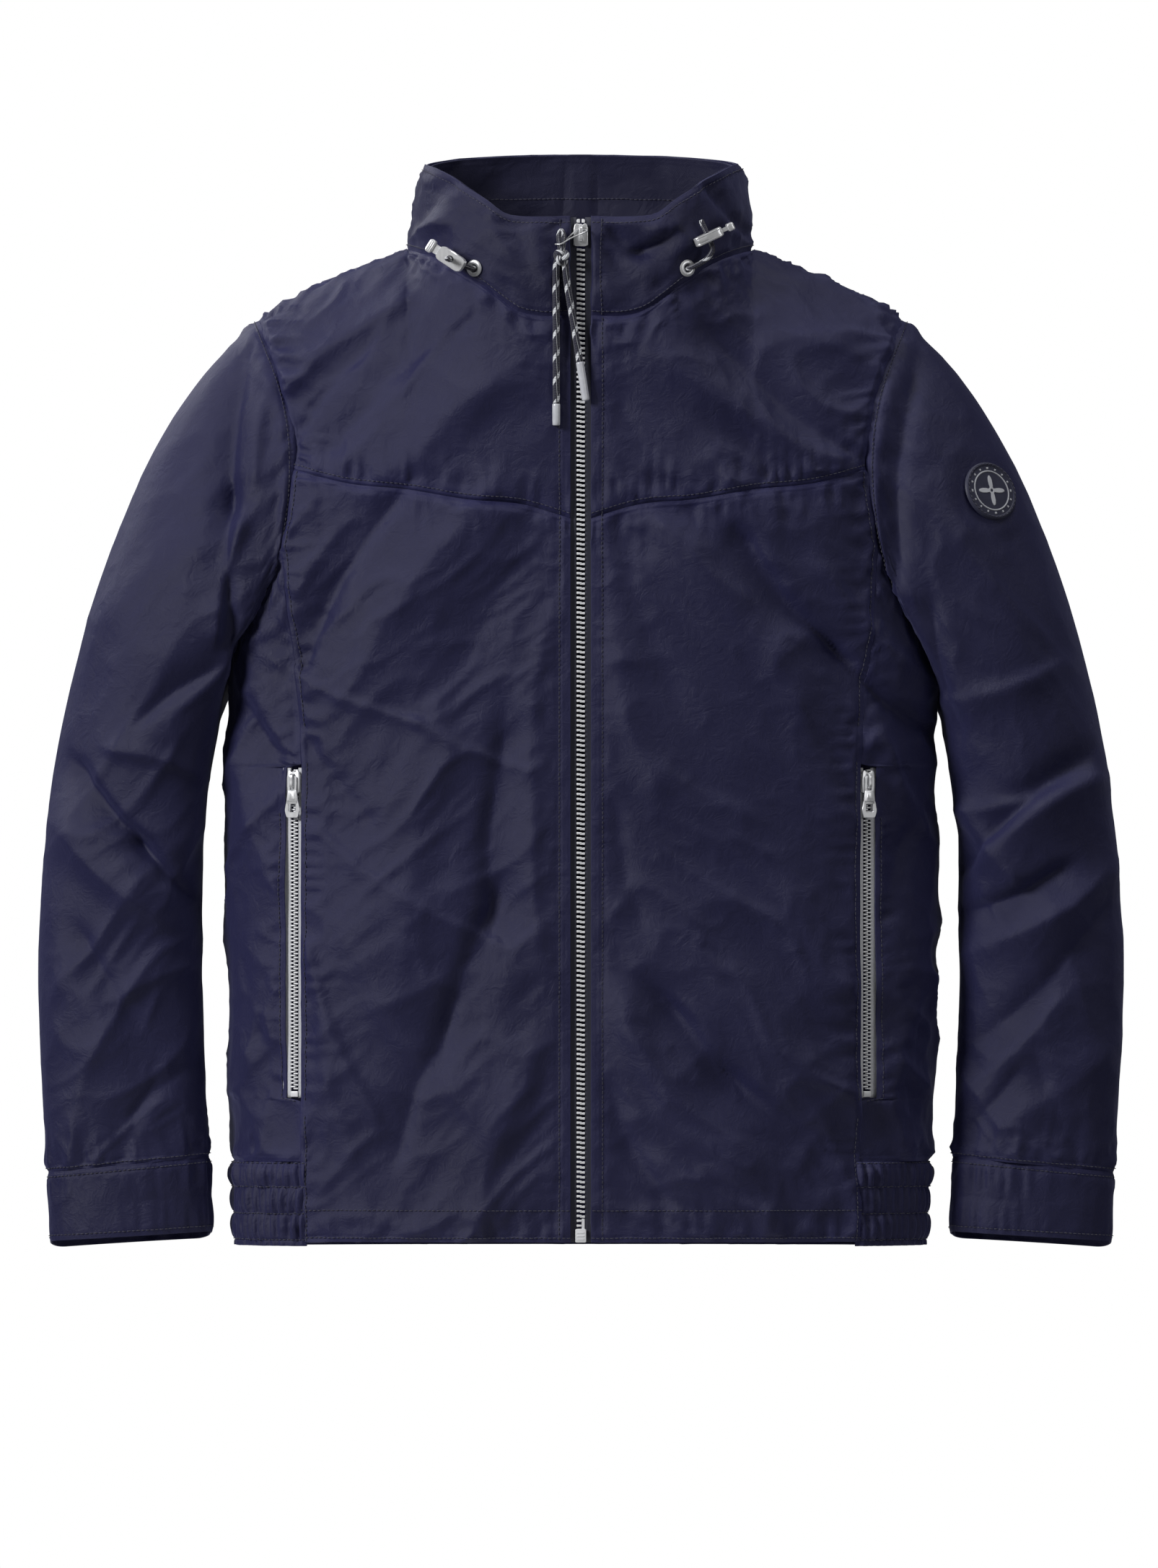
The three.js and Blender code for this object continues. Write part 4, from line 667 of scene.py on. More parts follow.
def body_folds(points, facing):
    """Displacement of the body's cloth out of its smooth surface, in millimetres, calmer beside the zip."""
    folds = FRONT_FOLDS if facing == FRONT else BACK_FOLDS
    height = fold_height(points, folds) + rumple(points, 2.0 if facing == FRONT else 5.0)
    x, z = np.abs(points[..., 0]), points[..., 2]
    calm = 0.12 + 0.88 * smoothstep((x - 8) / 26) if facing == FRONT else 1.0
    beside = np.exp(-(((x - 200) / 12) ** 2))
    pocket = 1 - 0.8 * beside * smoothstep((z - 90) / 15) * smoothstep((350 - z) / 15)
    neck = smoothstep((np.hypot(x / 1.15, (z - 700) * 0.8) - 55) / 60) if facing == FRONT else 1.0
    return height * calm * pocket * (0.25 + 0.75 * neck)


def to_shoulder(lift):
    """A yoke's folds die away over the last fifth below the shoulder seam, where front and back meet."""
    left = np.linspace(1, 0, len(lift))[:, None]
    return lift * (0.08 + 0.92 * smoothstep(left / 0.2))


def side_folds(points):
    """The side panels take the front's folds in front and the back's behind, blended over the side."""
    share = smoothstep((points[..., 1] + 35) / 70)
    return mix(body_folds(points, FRONT), body_folds(points, BACK), share)


# ------------------------------------------------------------------ sewing panels from grids

def marks(length, step):
    """Parameter values 0 to 1 along a length: close together near both seams, then even steps."""
    near = np.array([0, 0.5, 1.2, 2.2, 3.2, 4.0, 4.8, 6.2, 8.0]) / length
    middle = np.linspace(near[-1], 1 - near[-1], max(3, int((length - 16) / step)))
    return np.concatenate([near, middle[1:-1], 1 - near[::-1]])


def runs(grid):
    """Distances run along the columns and up the rows of a grid, in millimetres."""
    across = np.linalg.norm(np.diff(grid, axis=1), axis=-1)
    up = np.linalg.norm(np.diff(grid, axis=0), axis=-1)
    u = np.concatenate([np.zeros((grid.shape[0], 1)), np.cumsum(across, axis=1)], axis=1)
    v = np.concatenate([np.zeros((1, grid.shape[1])), np.cumsum(up, axis=0)], axis=0)
    return u, v


def grid_normals(grid, wrap, centre):
    """Unit normals of a grid, from its differences, turned to point away from the centre."""
    if wrap:
        du = np.roll(grid, -1, axis=1) - np.roll(grid, 1, axis=1)
    else:
        du = np.gradient(grid, axis=1)
    dv = np.gradient(grid, axis=0)
    normal = np.cross(du, dv)
    thin = np.linalg.norm(normal, axis=-1) < 1e-7
    normal[thin] = np.roll(normal, 1, axis=0)[thin]
    normal = unit(normal)
    sign = np.sign(np.nansum(normal * (grid - centre)))
    return normal * sign, sign


def body_centre(grid):
    """The body's upright axis at each point's height."""
    return grid * np.array([0, 0, 1.0])


def tube_centre(grid):
    """The middle of each ring."""
    return grid.mean(axis=1, keepdims=True)


def close_sheet(name, outer, normal, sign, thickness, wrap, uv, seam, **more):
    """Cloth with two faces and rolled rims: outer - normal thickness behind, joined round every
    open edge."""
    rows, columns = outer.shape[:2]
    count = rows * columns
    inner = outer - normal * thickness
    front = quads(rows, columns, wrap_columns=wrap)
    if sign < 0:
        front = front[:, ::-1]
    faces = [front, front[:, ::-1] + count]
    index = np.arange(count).reshape(rows, columns)
    low, high = index[0], index[-1]
    if wrap:
        low, high = np.append(low, low[0]), np.append(high, high[0])
    edges = [low[::-1], high]
    if not wrap:
        edges += [index[:, 0], index[::-1, -1]]
    for edge in edges:
        strip = np.stack([edge[:-1], edge[1:], edge[1:] + count, edge[:-1] + count], axis=-1)
        faces.append(strip if sign > 0 else strip[:, ::-1])
    points = np.concatenate([outer.reshape(-1, 3), inner.reshape(-1, 3)])
    return put(name, points, np.concatenate(faces), uv=np.tile(uv.reshape(-1, 2), (2, 1)),
               seam=np.tile(seam.ravel(), 2), **more)


class Cloth:
    """A sewn piece: its displaced outer grid, normals and runs, kept for its topstitching."""

    def __init__(self, grid, lift, centre=body_centre, wrap=False, dips=(1, 1, 1, 1), pucker=1.0, seed=0,
                 sink=0.0, quiet=(), tucks=()):
        """Moves the grid out along its normals by lift, with puckers and a dip at each seam.

        dips: how deep each edge is drawn in, in the order bottom, top, start, end.
        quiet: (point, radius, depth) where the cloth lies flat and that much sunk.
        tucks: (edge, depth) where the cloth goes on behind its neighbour."""
        self.wrap, self.tucks = wrap, tucks
        normal, self.sign = grid_normals(grid, wrap, centre(grid))
        self.u, self.v = runs(grid)
        ends = [self.v, self.v[-1:] - self.v, self.u, self.u[:, -1:] - self.u]
        runs_along = [self.u, self.u, self.v, self.v]
        total = lift.copy()
        self.seam = np.zeros(lift.shape)
        for edge in range(2 if wrap else 4):
            far, run, dip = ends[edge], runs_along[edge], dips[edge]
            if dip == 0:
                continue
            close = np.exp(-far / 15) * (1 - np.exp(-((far / 5) ** 2)))
            spots = np.stack([run, np.full(run.shape, edge * 31.0), far * 0.45], axis=-1)
            ridges = 1 - np.abs(2 * noise(spots, 8.8, seed + edge) - 1)
            waves = 1.5 * ridges**2 + 0.5 * noise(spots, 4.1, seed + edge + 3) - 1.1
            total += pucker * dip * 4.0 * close * waves
            edge_dip, stitch_dip = np.exp(-((far / 2.3) ** 2)), np.exp(-(((far - 4) / 0.8) ** 2))
            total -= dip * 1.5 * edge_dip + dip * 0.45 * stitch_dip
            if edge > 1 and dip < 0.5:
                total -= 0.7 * np.exp(-(((far - 8) / 1.1) ** 2))
            self.seam = np.maximum(self.seam, np.exp(-far / 5) * min(dip, 1))
        fade = np.minimum(1, np.minimum(self.v, self.v[-1:] - self.v) / 5)
        if not wrap:
            fade = np.minimum(fade, np.minimum(self.u, self.u[:, -1:] - self.u) / 5)
        for point, radius, depth in quiet:
            close = np.exp(-((np.linalg.norm(grid - point, axis=-1) / radius) ** 4))
            total = mix(total, -depth, close)
        self.outer = grid + normal * (total * (0.72 + 0.28 * fade) - sink)[..., None]
        self.normal, _ = grid_normals(self.outer, wrap, centre(self.outer))

    def sew(self, name, material, thickness=1.1, **more):
        """Makes the mesh with UV in metres. A tucked edge has one row more, carried on and sunk 1.2 mm."""
        uv = np.stack([self.u, self.v], axis=-1) / 1000
        parts = [self.outer, self.normal, uv, self.seam]
        for edge, depth in self.tucks:
            end, before = (-1, -3) if edge == "top" else (0, 2)
            ahead = unit(self.outer[end] - self.outer[before])
            row = self.outer[end] + ahead * depth - self.normal[end] * 1.2
            added = [row, self.normal[end], uv[end] + (0, depth / 1000), self.seam[end]]
            parts = [np.concatenate([kept, new[None]] if edge == "top" else [new[None], kept])
                     for kept, new in zip(parts, added)]
        return close_sheet(name, parts[0], parts[1], self.sign, thickness, self.wrap, parts[2], parts[3],
                           material=material, **more)

    def line(self, edge, distance, start=0.0, end=1.0):
        """Points and normals along an edge at a distance from it, from one share of its length
        to another."""
        if edge in ("bottom", "top"):
            run = self.v if edge == "bottom" else self.v[-1:] - self.v
            points, normals = self.outer, self.normal
        else:
            run = (self.u if edge == "start" else self.u[:, -1:] - self.u).T
            points, normals = self.outer.transpose(1, 0, 2), self.normal.transpose(1, 0, 2)
        low = np.argmax(run >= distance, axis=0) if edge in ("bottom", "start") else (
            run.shape[0] - 1 - np.argmax(run[::-1] >= distance, axis=0))
        step = -1 if edge in ("bottom", "start") else 1
        near = np.clip(low + step, 0, run.shape[0] - 1)
        which = np.arange(run.shape[1])
        gap = run[low, which] - run[near, which]
        share = np.where(np.abs(gap) > 1e-9, (distance - run[near, which]) / np.where(gap == 0, 1, gap), 0)
        share = np.clip(share, 0, 1)[:, None]
        path = mix(points[near, which], points[low, which], share)
        facing = unit(mix(normals[near, which], normals[low, which], share))
        first, last = int(start * (len(path) - 1)), int(end * (len(path) - 1)) + 1
        return path[first:last], facing[first:last]


STITCHES = []


def stitch(path, facing, length=2.5, every=3.3):
    """Marks a row of stitches along a path on the cloth: middles, directions and normals at equal steps."""
    run = np.concatenate([[0], np.cumsum(np.linalg.norm(np.diff(path, axis=0), axis=1))])
    at = np.arange(every / 2, run[-1], every)
    if len(at) == 0:
        return
    middle = np.stack([np.interp(at, run, path[:, k]) for k in range(3)], axis=1)
    ahead = np.stack([np.interp(at + 0.4, run, path[:, k]) for k in range(3)], axis=1)
    normal = unit(np.stack([np.interp(at, run, facing[:, k]) for k in range(3)], axis=1))
    STITCHES.append((middle, unit(ahead - middle + 1e-6), normal, length))


def make_stitches():
    """Every stitch: a thread of radius 0.3 mm that rises as half a wave over its length;
    six-sided rings."""
    rows = []
    for middle, along, normal, length in STITCHES:
        across = unit(np.cross(along, normal))
        s = np.linspace(-0.5, 0.5, 5)
        rise = 0.18 + 0.42 * np.cos(np.pi * s)
        radius = 0.3 * np.sqrt(np.maximum(0.15, 1 - (2 * s) ** 4))
        turn = np.arange(6) * np.pi / 3
        spine = (middle[:, None] + along[:, None] * (s * length)[None, :, None]
                 + normal[:, None] * rise[None, :, None])
        ring = (across[:, None, None] * (np.cos(turn)[None, None, :, None] * radius[None, :, None, None])
                + normal[:, None, None] * (np.sin(turn)[None, None, :, None] * radius[None, :, None, None]))
        rows.append(spine[:, :, None] + ring)
    points = np.concatenate(rows)
    count = len(points)
    one = np.concatenate([quads(5, 6, wrap_columns=True)])
    ends = np.array([[0, 1, 2, 3], [0, 3, 4, 5], [27, 26, 25, 24], [29, 28, 27, 24]])
    one = np.concatenate([one[:, ::-1], ends])
    faces = (np.arange(count)[:, None, None] * 30 + one[None]).reshape(-1, 4)
    uv = np.zeros((count * 30, 2))
    uv[:, 0] = np.tile(np.tile(np.arange(6) / 6, 5), count)
    uv[:, 1] = np.tile(np.repeat(np.arange(5) * 0.0006, 6), count)
    put("topstitching", points.reshape(-1, 3), faces, THREAD, uv=uv)


def both(cloth, name, material, thickness=1.1, slot="shell_cloth", seam_lines=()):
    """Sews the piece of the +X side and its neighbour of the -X side from their own folds."""
    for label, made in cloth.items():
        piece = made.sew(f"{label}_{name}_cloth", material, thickness, slot=slot,
                         instead_of=(f"{label}_{name}",))
        for line in seam_lines:
            stitch(*made.line(*line))


def front_grid(surface, shares, rises, sign):
    """A grid of the surface over shares and rises, on the side given by sign, columns turned to
    keep facing out."""
    share, rise = np.meshgrid(shares, rises)
    grid = surface(share, rise)
    return grid if sign > 0 else (grid * np.array([-1.0, 1, 1]))


SIGNS = {"left": 1, "right": -1}


def make_body():
    """Front panels, yokes, side panels, back panel and back yoke, each with its folds and its
    topstitching."""
    fronts, yokes, sides = {}, {}, {}
    for label, sign in SIGNS.items():
        grid = front_grid(lambda s, r: panel(s, r, FRONT, 5.5), marks(188, 2.6), marks(520, 2.6), sign)
        fronts[label] = Cloth(grid, body_folds(grid, FRONT), dips=(0.9, 1, 0.3, 0.9), seed=3 + sign)
        grid = front_grid(lambda s, r: yoke(s, r, FRONT), marks(200, 2.4), marks(150, 2.3), sign)
        yokes[label] = Cloth(grid, to_shoulder(body_folds(grid, FRONT)), dips=(1, 1.1, 0.3, 1),
                             pucker=1.25, seed=9 + sign)
        rows = np.concatenate([[61, 61.5, 62.2, 63.2, 64.2, 65, 65.8, 67], np.arange(69, 102, 2.6),
                               [103, 103.7, 104.4, 105], np.arange(107, 334, 2.6), [335, 335.7, 336.4, 337],
                               337 + 153 * marks(110, 2.6)[1:]])
        turn, row = np.meshgrid(marks(150, 2.4) * 2 - 1, rows)
        grid = side(turn, row) * np.array([sign, 1.0, 1.0])
        quiet = [(body_point(np.array(200.0), np.array(84.0), FRONT) * [sign, 1, 1], 20, 2.8)]
        sides[label] = Cloth(grid, side_folds(grid), dips=(1, 1, 0.9, 0.9), seed=15 + sign, quiet=quiet)
    both(fronts, "front_panel", SHELL, seam_lines=[
        ("start", 8.0, 0.012, 1.0), ("end", 4.0, 0.0, 0.18), ("end", 4.0, 0.2, 0.62),
        ("end", 4.0, 0.66, 1.0), ("bottom", 3.0), ("bottom", 22.0, 0.02, 1.0)])
    both(yokes, "front_yoke", SHELL, seam_lines=[("bottom", 3.6), ("start", 8.0)])
    both(sides, "side_panel", SHELL, seam_lines=[("start", 4.0, 0.13, 0.6)])

    share, rise = np.meshgrid(marks(392, 2.8) * 2 - 1, marks(540, 2.8))
    grid = panel(np.abs(share), rise, BACK, 0.5)
    grid[..., 0] *= np.where(share < 0, -1, 1)
    back = Cloth(grid, body_folds(grid, BACK), dips=(0.9, 1, 0.9, 0.9), seed=21)
    piece = back.sew("back_panel_cloth", SHELL, slot="shell_cloth", instead_of=("back_panel",))
    stitch(*back.line("bottom", 3.0))
    share, rise = np.meshgrid(marks(410, 2.8) * 2 - 1, marks(140, 2.4))
    grid = yoke(np.abs(share), rise, BACK)
    grid[..., 0] *= np.where(share < 0, -1, 1)
    upper = Cloth(grid, to_shoulder(body_folds(grid, BACK)), dips=(1, 1.1, 1, 1), seed=24)
    piece = upper.sew("back_yoke_cloth", SHELL, slot="shell_cloth", instead_of=("back_yoke",))
    stitch(*upper.line("bottom", 3.6))


def make_hem_elastics():
    """Shirred sides of the hem: pleats |sin| of a wandering phase that swell between four rows
    of stitching."""
    made = {}
    for label, sign in SIGNS.items():
        turn, row = np.meshgrid((marks(180, 1.6) * 2 - 1) * 1.03, mix(2.5, 61.0, marks(58, 1.5)))
        grid = side(turn, row, False) * np.array([sign, 1.0, 1.0])
        u, _ = runs(grid)
        band = np.floor((row - 6.5) / 18.2)
        spots = np.stack([u, row * 0.16, 23.0 * band + 50 * sign], axis=-1)
        phase = u / 6.4 + 1.5 * noise(spots, 17, 31)
        phase = phase + 0.05 * (row - 6.5 - 18.2 * band) * (noise(spots, 23, 37) - 0.5)
        gathers = np.abs(np.sin(np.pi * phase)) ** 0.8 * (0.45 + 1.1 * noise(spots, 9, 33)) - 0.55
        swell = np.abs(np.sin(np.pi * (row - 6.5) / 18.2)) ** 0.5
        lift = 5.0 * gathers * (0.2 + 0.8 * swell) + 0.7 * swell
        made[label] = Cloth(grid, lift, dips=(0.3, 1, 0.8, 0.8), pucker=0.5, seed=35 + sign)
    both(made, "hem_elastic", ELASTIC, slot="elastic",
         seam_lines=[("bottom", 4.5), ("bottom", 22.5), ("bottom", 41.0), ("top", 1.2)])


# ------------------------------------------------------------------ sleeves and cuffs

OUTER_LINE = [[225, 647], [264, 607], [302, 546], [335, 466], [357, 386], [371, 306], [378, 216],
              [377, 146], [372, 53]]
INNER_LINE = [[246, 413], [253, 360], [261, 306], [264, 226], [262, 126], [258, 64]]
SLEEVE_LENGTH = 590  # from the armhole seam to the cuff's seam, in millimetres
half_depth = through([[0, 70], [0.15, 68], [0.35, 61], [0.55, 54], [0.8, 41], [1, 31]])
forward = through([[0, 0], [0.4, -1], [0.7, -6], [1, -15]])


def armhole_loop(count):
    """The armhole's edge from the shoulder tip down the front and up the back, in equal steps."""
    down = np.linspace(1, 0, 60)
    one = np.ones(60)
    rows = np.linspace(542, 490, 30)
    panel_rise = (rows - 5.5) / 536.5
    turn = np.linspace(-1, 1, 120)
    loop = np.concatenate([
        yoke(one, down, FRONT), panel(np.ones(30), panel_rise, FRONT, 5.5)[1:],
        side(turn, np.full(120, 490.0))[1:-1],
        panel(np.ones(30), ((rows[::-1]) - 0.5) / 541.5, BACK, 0.5), yoke(one, down[::-1], BACK)[1:],
    ])
    run = np.concatenate([[0], np.cumsum(np.linalg.norm(np.diff(loop, axis=0), axis=1))])
    at = np.linspace(0, run[-1], count + 1)[:-1]
    return np.stack([np.interp(at, run, loop[:, k]) for k in range(3)], axis=1)


def ring(outer, inner, depth, ahead, angle):
    """Ellipse between an outer and an inner point: middle + (outer - inner) / 2 cos, y = ahead +
    depth sin."""
    middle, reach = (outer + inner) / 2, (outer - inner) / 2 * np.cos(angle)[..., None]
    flat = middle + reach
    return np.stack([flat[..., 0], ahead + depth * np.sin(angle), flat[..., 1]], axis=-1)


LOOP_POINTS = armhole_loop(150)
LOOP_ANGLES = np.arctan2(LOOP_POINTS[:, 1] / 70, (LOOP_POINTS[:, 2] - 530) / 117)


def sleeve_surface(shares):
    """Rings down the sleeve; the armhole's own shape fades out over the first third."""
    outer = spline(OUTER_LINE, 400)
    inner = spline(INNER_LINE, 400)
    at = np.linspace(0, 1, 400)

    def rings(share):
        out = np.stack([np.interp(share, at, outer[:, k]) for k in (0, 1)], axis=-1)[:, None]
        inn = np.stack([np.interp(share, at, inner[:, k]) for k in (0, 1)], axis=-1)[:, None]
        return ring(out, inn, half_depth(share)[:, None], forward(share)[:, None], LOOP_ANGLES[None, :])
    offset = (LOOP_POINTS - rings(np.zeros(1))[0])[None]
    return rings(shares) + offset * (1 - smoothstep(shares / 0.35))[:, None, None]


def make_sleeves():
    """Sleeves with a full cap, elbow folds and gathers into the cuff, and the elasticated cuffs."""
    sleeves, cuffs = {}, {}
    shares = marks(SLEEVE_LENGTH, 2.7)[::-1]
    down = shares[:, None] * SLEEVE_LENGTH
    left = (1 - shares[:, None]) * SLEEVE_LENGTH
    for label, sign in SIGNS.items():
        grid = sleeve_surface(shares) * np.array([sign, 1.0, 1.0])
        facing = smoothstep((-(grid[..., 1] - forward(shares)[:, None])) / 14)
        folds = LEFT_SLEEVE_FOLDS if sign > 0 else RIGHT_SLEEVE_FOLDS
        behind = [(x0, z0 - 12, x1, z1 - 25, width * 1.3, -height * 0.8, lean)
                  for x0, z0, x1, z1, width, height, lean in folds]
        lift = facing * fold_height(grid, folds) + (1 - facing) * fold_height(grid, behind)
        lift = lift * (0.6 + 0.4 * smoothstep((grid[..., 2] - 120) / 160)) + 0.8 * rumple(grid, 41.0 + sign)
        lift *= 0.12 + 0.88 * np.abs(np.sin(LOOP_ANGLES))[None] ** 1.1
        middle = np.mean([placed_back(c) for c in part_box("left_sleeve_badge")], axis=0)
        patch = np.linalg.norm(grid - middle, axis=-1) if sign > 0 else np.full(lift.shape, 99.0)
        lift *= 1 - facing * (1 - smoothstep((patch - 22) / 18))
        cap = np.exp(-(((down - 9) / 7) ** 2))
        gather = np.exp(-left / 16) * (1 - np.exp(-left / 4))
        spots = np.stack([np.arange(150)[None] * 2.2 + 0 * shares[:, None], 0 * grid[..., 0],
                          (1 - shares[:, None]) * 60 + 0 * grid[..., 0]], axis=-1)
        lift = lift * smoothstep(down / 30) - 1.2 * facing * smoothstep((30 - patch) / 10)
        lift += 1.8 * cap + 7.0 * gather * (noise(spots, 8.5, 43) - 0.42)
        sleeves[label] = Cloth(grid, lift, tube_centre, wrap=True, dips=(1, 1, 0, 0), seed=45 + sign,
                               tucks=[("top", 5.0)])
        drop, turn = np.meshgrid(marks(50, 1.6)[::-1], LOOP_ANGLES, indexing="ij")
        outer = np.stack([mix(372.0, 370.0, drop), mix(53.0, 5.0, drop)], axis=-1)
        inner = np.stack([mix(258.0, 257.0, drop), mix(64.0, 12.0, drop)], axis=-1)
        band = ring(outer, inner, mix(31.0, 28.0, drop), -15.0, turn) * np.array([sign, 1.0, 1.0])
        spots = np.stack([np.arange(150)[None] * 2.1 + 0 * drop, drop * 6, 0 * drop + 9 * sign], axis=-1)
        inner_half = smoothstep(-np.cos(turn) * 2.2 + 0.35)
        swell = np.abs(np.sin(2 * np.pi * (drop - 0.02))) ** 0.6
        pleats = (noise(spots, 4.6, 51) - 0.5) * (0.3 + 0.7 * swell)
        lift = (2.6 * inner_half + 0.7) * pleats + 0.8 * swell * inner_half
        band[..., 2] -= 5.0 * drop**2 * smoothstep((np.sin(turn) + 0.2) / 0.8)
        cuffs[label] = Cloth(band, lift, tube_centre, wrap=True, dips=(0.3, 1, 0, 0), pucker=0.5,
                             seed=53 + sign)
    both(sleeves, "sleeve", SHELL, seam_lines=[("top", 3.0), ("bottom", 2.5)])
    both(cuffs, "cuff", ELASTIC, slot="elastic",
         seam_lines=[("top", 3.6), ("bottom", 4.0)])
    return sleeves["left"]


# ------------------------------------------------------------------ collar

def collar_surface(columns, rises):
    """From the right front edge round the back to the left one: neck seam to rim, bulged 2.3
    sin(pi rise)."""
    rim_z = through([[0, 717], [50, 718], [66, 729], [90, 744], [109, 755]])
    k = np.asarray(columns, float)
    lobe = np.where(k <= 10, k, 20 - k)
    sign = np.where(k <= 10, 1.0, -1.0)
    in_front = lobe <= 5
    step = np.where(in_front, lobe, 10 - lobe)
    turn = np.sin(step / 5 * np.pi / 2)
    low = np.where(in_front[:, None], yoke(step / 8, np.ones_like(k), FRONT),
                   yoke(step / 8, np.ones_like(k), BACK))
    x = np.where(in_front, mix(7.0, 109.0, turn), 109 * turn)
    front_y = -100 * np.maximum(0, 1 - (x / 109) ** 3) ** (1 / 3)
    bend = np.sqrt(np.maximum(0, 1 - (x / 109) ** 2))
    high = np.stack([x, np.where(in_front, front_y, 46 * bend),
                     np.where(in_front, rim_z(x), mix(755.0, 763.5, bend))],
                    axis=-1)
    point = mix(low[None], high[None], rises[:, None, None])
    outwards = unit(point * np.array([1.0, 1.0, 0]))
    bulge = 2.3 * np.sin(np.pi * rises)[:, None] * (point[..., 0] > 7.01)
    point = point + outwards * bulge[..., None]
    point[..., 0] *= sign[None]
    return point


COLLAR_FOLDS = [
    (25, 705, 42, 693, 5, -3.2, 0.3), (42, 693, 60, 702, 5, -3.0, 0.3), (36, 712, 58, 707, 5, 2.2, 0.2),
    (58, 722, 74, 700, 7, 2.6, 0.3), (92, 735, 118, 705, 8, -3.0, 0.3), (100, 715, 128, 698, 5, 2.6, 0.4),
    (-60, 720, -48, 690, 8, 2.4, 0.3), (-92, 738, -118, 706, 8, -3.0, 0.3),
    (-98, 712, -126, 698, 5, 2.8, 0.4),
    (-30, 708, -24, 672, 7, 1.8, 0.3), (20, 690, 40, 672, 6, -2.2, 0.3), (75, 742, 95, 722, 8, 2.0, 0.2),
]


def make_collar():
    """The stand collar: soft folds where it droops beside the zip, an inner facing with its own seam."""
    columns = np.concatenate([marks(118, 1.9) * 10, 20 - marks(118, 1.9)[::-1][1:] * 10])
    rises = marks(66, 2.0)
    grid = collar_surface(columns, rises)
    front = smoothstep(-grid[..., 1] / 30)
    lift = 1.7 * front * fold_height(grid, COLLAR_FOLDS) + 0.8 * rumple(grid, 61.0)
    lift *= 0.15 + 0.85 * smoothstep((np.abs(grid[..., 0]) - 8) / 14)
    quiet = [(EYELET * [sign, 1, 1], 12, 0.2) for sign in SIGNS.values()]
    outer = Cloth(grid, lift, dips=(1.0, 0.7, 0.3, 0.3), pucker=1.2, seed=63, quiet=quiet,
                  tucks=[("bottom", 5.0)])
    # The outer collar takes the darker navy, which paints the collar's shade into its colour.
    piece = outer.sew("collar_outer_cloth", COLLAR_IN_PAINTED_SHADE, slot="shell_cloth", instead_of=("collar_outer",))
    stitch(*outer.line("bottom", 3.2))
    stitch(*outer.line("top", 4.5))
    stitch(*outer.line("start", 7.5))
    stitch(*outer.line("end", 7.5))
    inside = Cloth(grid, lift * 0.6 + 0.8 * np.sin(np.pi * rises)[:, None], dips=(0.5, 0.4, 0.2, 0.2),
                   pucker=0.4, seed=67, sink=3.7)
    piece = inside.sew("collar_facing_cloth", INNER, 0.8, slot="inner_cloth", instead_of=("collar_facing",))
    path, facing = inside.line("top", 31.0, 0.28, 0.72)
    stitch(path - facing * 1.2, -facing)


def make_linings():
    """Linings and pocket bags behind the shell: the panels' own surfaces, set back by the layers
    before them."""
    for label, sign in SIGNS.items():
        for name, shares, rises, sink, flat in [
            ("front_lining", np.linspace(0.125, 0.875, 50), np.linspace(0.1035, 1, 120), 3.4,
             (0.145, 0.49)),
            ("pocket_bag", np.linspace(0.375, 0.875, 30), np.linspace(0.182, 0.615, 60), 2.3, (0.1, 0.235)),
        ]:
            grid = front_grid(lambda s, r: panel(s, r, FRONT, 5.5), shares, rises, sign)
            made = Cloth(grid, np.minimum(0, body_folds(grid, FRONT)), dips=(0, 0, 0, 0), sink=sink + 1)
            piece = made.sew(f"{label}_{name}_cloth", LINING, 0.5, slot="lining",
                             instead_of=(f"{label}_{name}",))
    share, rise = np.meshgrid(np.linspace(-0.875, 0.875, 90), np.linspace(0.111, 1, 110))
    grid = panel(np.abs(share), rise, BACK, 0.5)
    grid[..., 0] *= np.where(share < 0, -1, 1)
    made = Cloth(grid, np.minimum(0, body_folds(grid, BACK)), dips=(0, 0, 0, 0), sink=3.3)
    piece = made.sew("back_lining_cloth", LINING, 0.5, slot="lining", instead_of=("back_lining",))


# ------------------------------------------------------------------ cords

def tube(path, radius, turns=16, closed=False, wobble=None):
    """A round section carried along a path: p + r (cos a n + sin a b), on a frame that doesn't twist."""
    path = np.asarray(path, float)
    count = len(path)
    along = np.roll(path, -1, axis=0) - np.roll(path, 1, axis=0) if closed else np.gradient(path, axis=0)
    along = unit(along)
    side_way = np.zeros_like(path)
    guide = np.array([0.0, -1, 0]) if abs(along[0][1]) < 0.9 else np.array([1.0, 0, 0])
    for i in range(count):
        guide = guide - along[i] * (guide @ along[i])
        guide = guide / np.linalg.norm(guide)
        side_way[i] = guide
    other = np.cross(along, side_way)
    angle = np.arange(turns) * 2 * np.pi / turns
    radii = np.broadcast_to(np.asarray(radius, float), (count,))[:, None, None]
    if wobble is not None:
        radii = radii * (1 + wobble(np.arange(count)[:, None], angle[None]))[..., None]
    points = path[:, None] + radii * (np.cos(angle)[None, :, None] * side_way[:, None]
                                      + np.sin(angle)[None, :, None] * other[:, None])
    run = np.concatenate([[0], np.cumsum(np.linalg.norm(np.diff(path, axis=0), axis=1))]) / 1000
    uv = np.stack(np.broadcast_arrays(angle[None] / (2 * np.pi), run[:, None]), axis=-1)
    faces = quads(count, turns, wrap_rows=closed, wrap_columns=True)
    return points.reshape(-1, 3), faces, uv.reshape(-1, 2), turns


def capped_tube(name, path, radius, material, turns=16, closed=False, **more):
    """A tube whose open ends are closed by a fan round a middle point."""
    points, faces, uv, turns = tube(path, radius, turns, closed)
    faces = faces.tolist()
    if not closed:
        last = len(points) - turns
        faces.append(list(range(turns))[::-1])
        faces.append(list(range(last, last + turns)))
    return put(name, points, faces, material, uv=uv, **more)


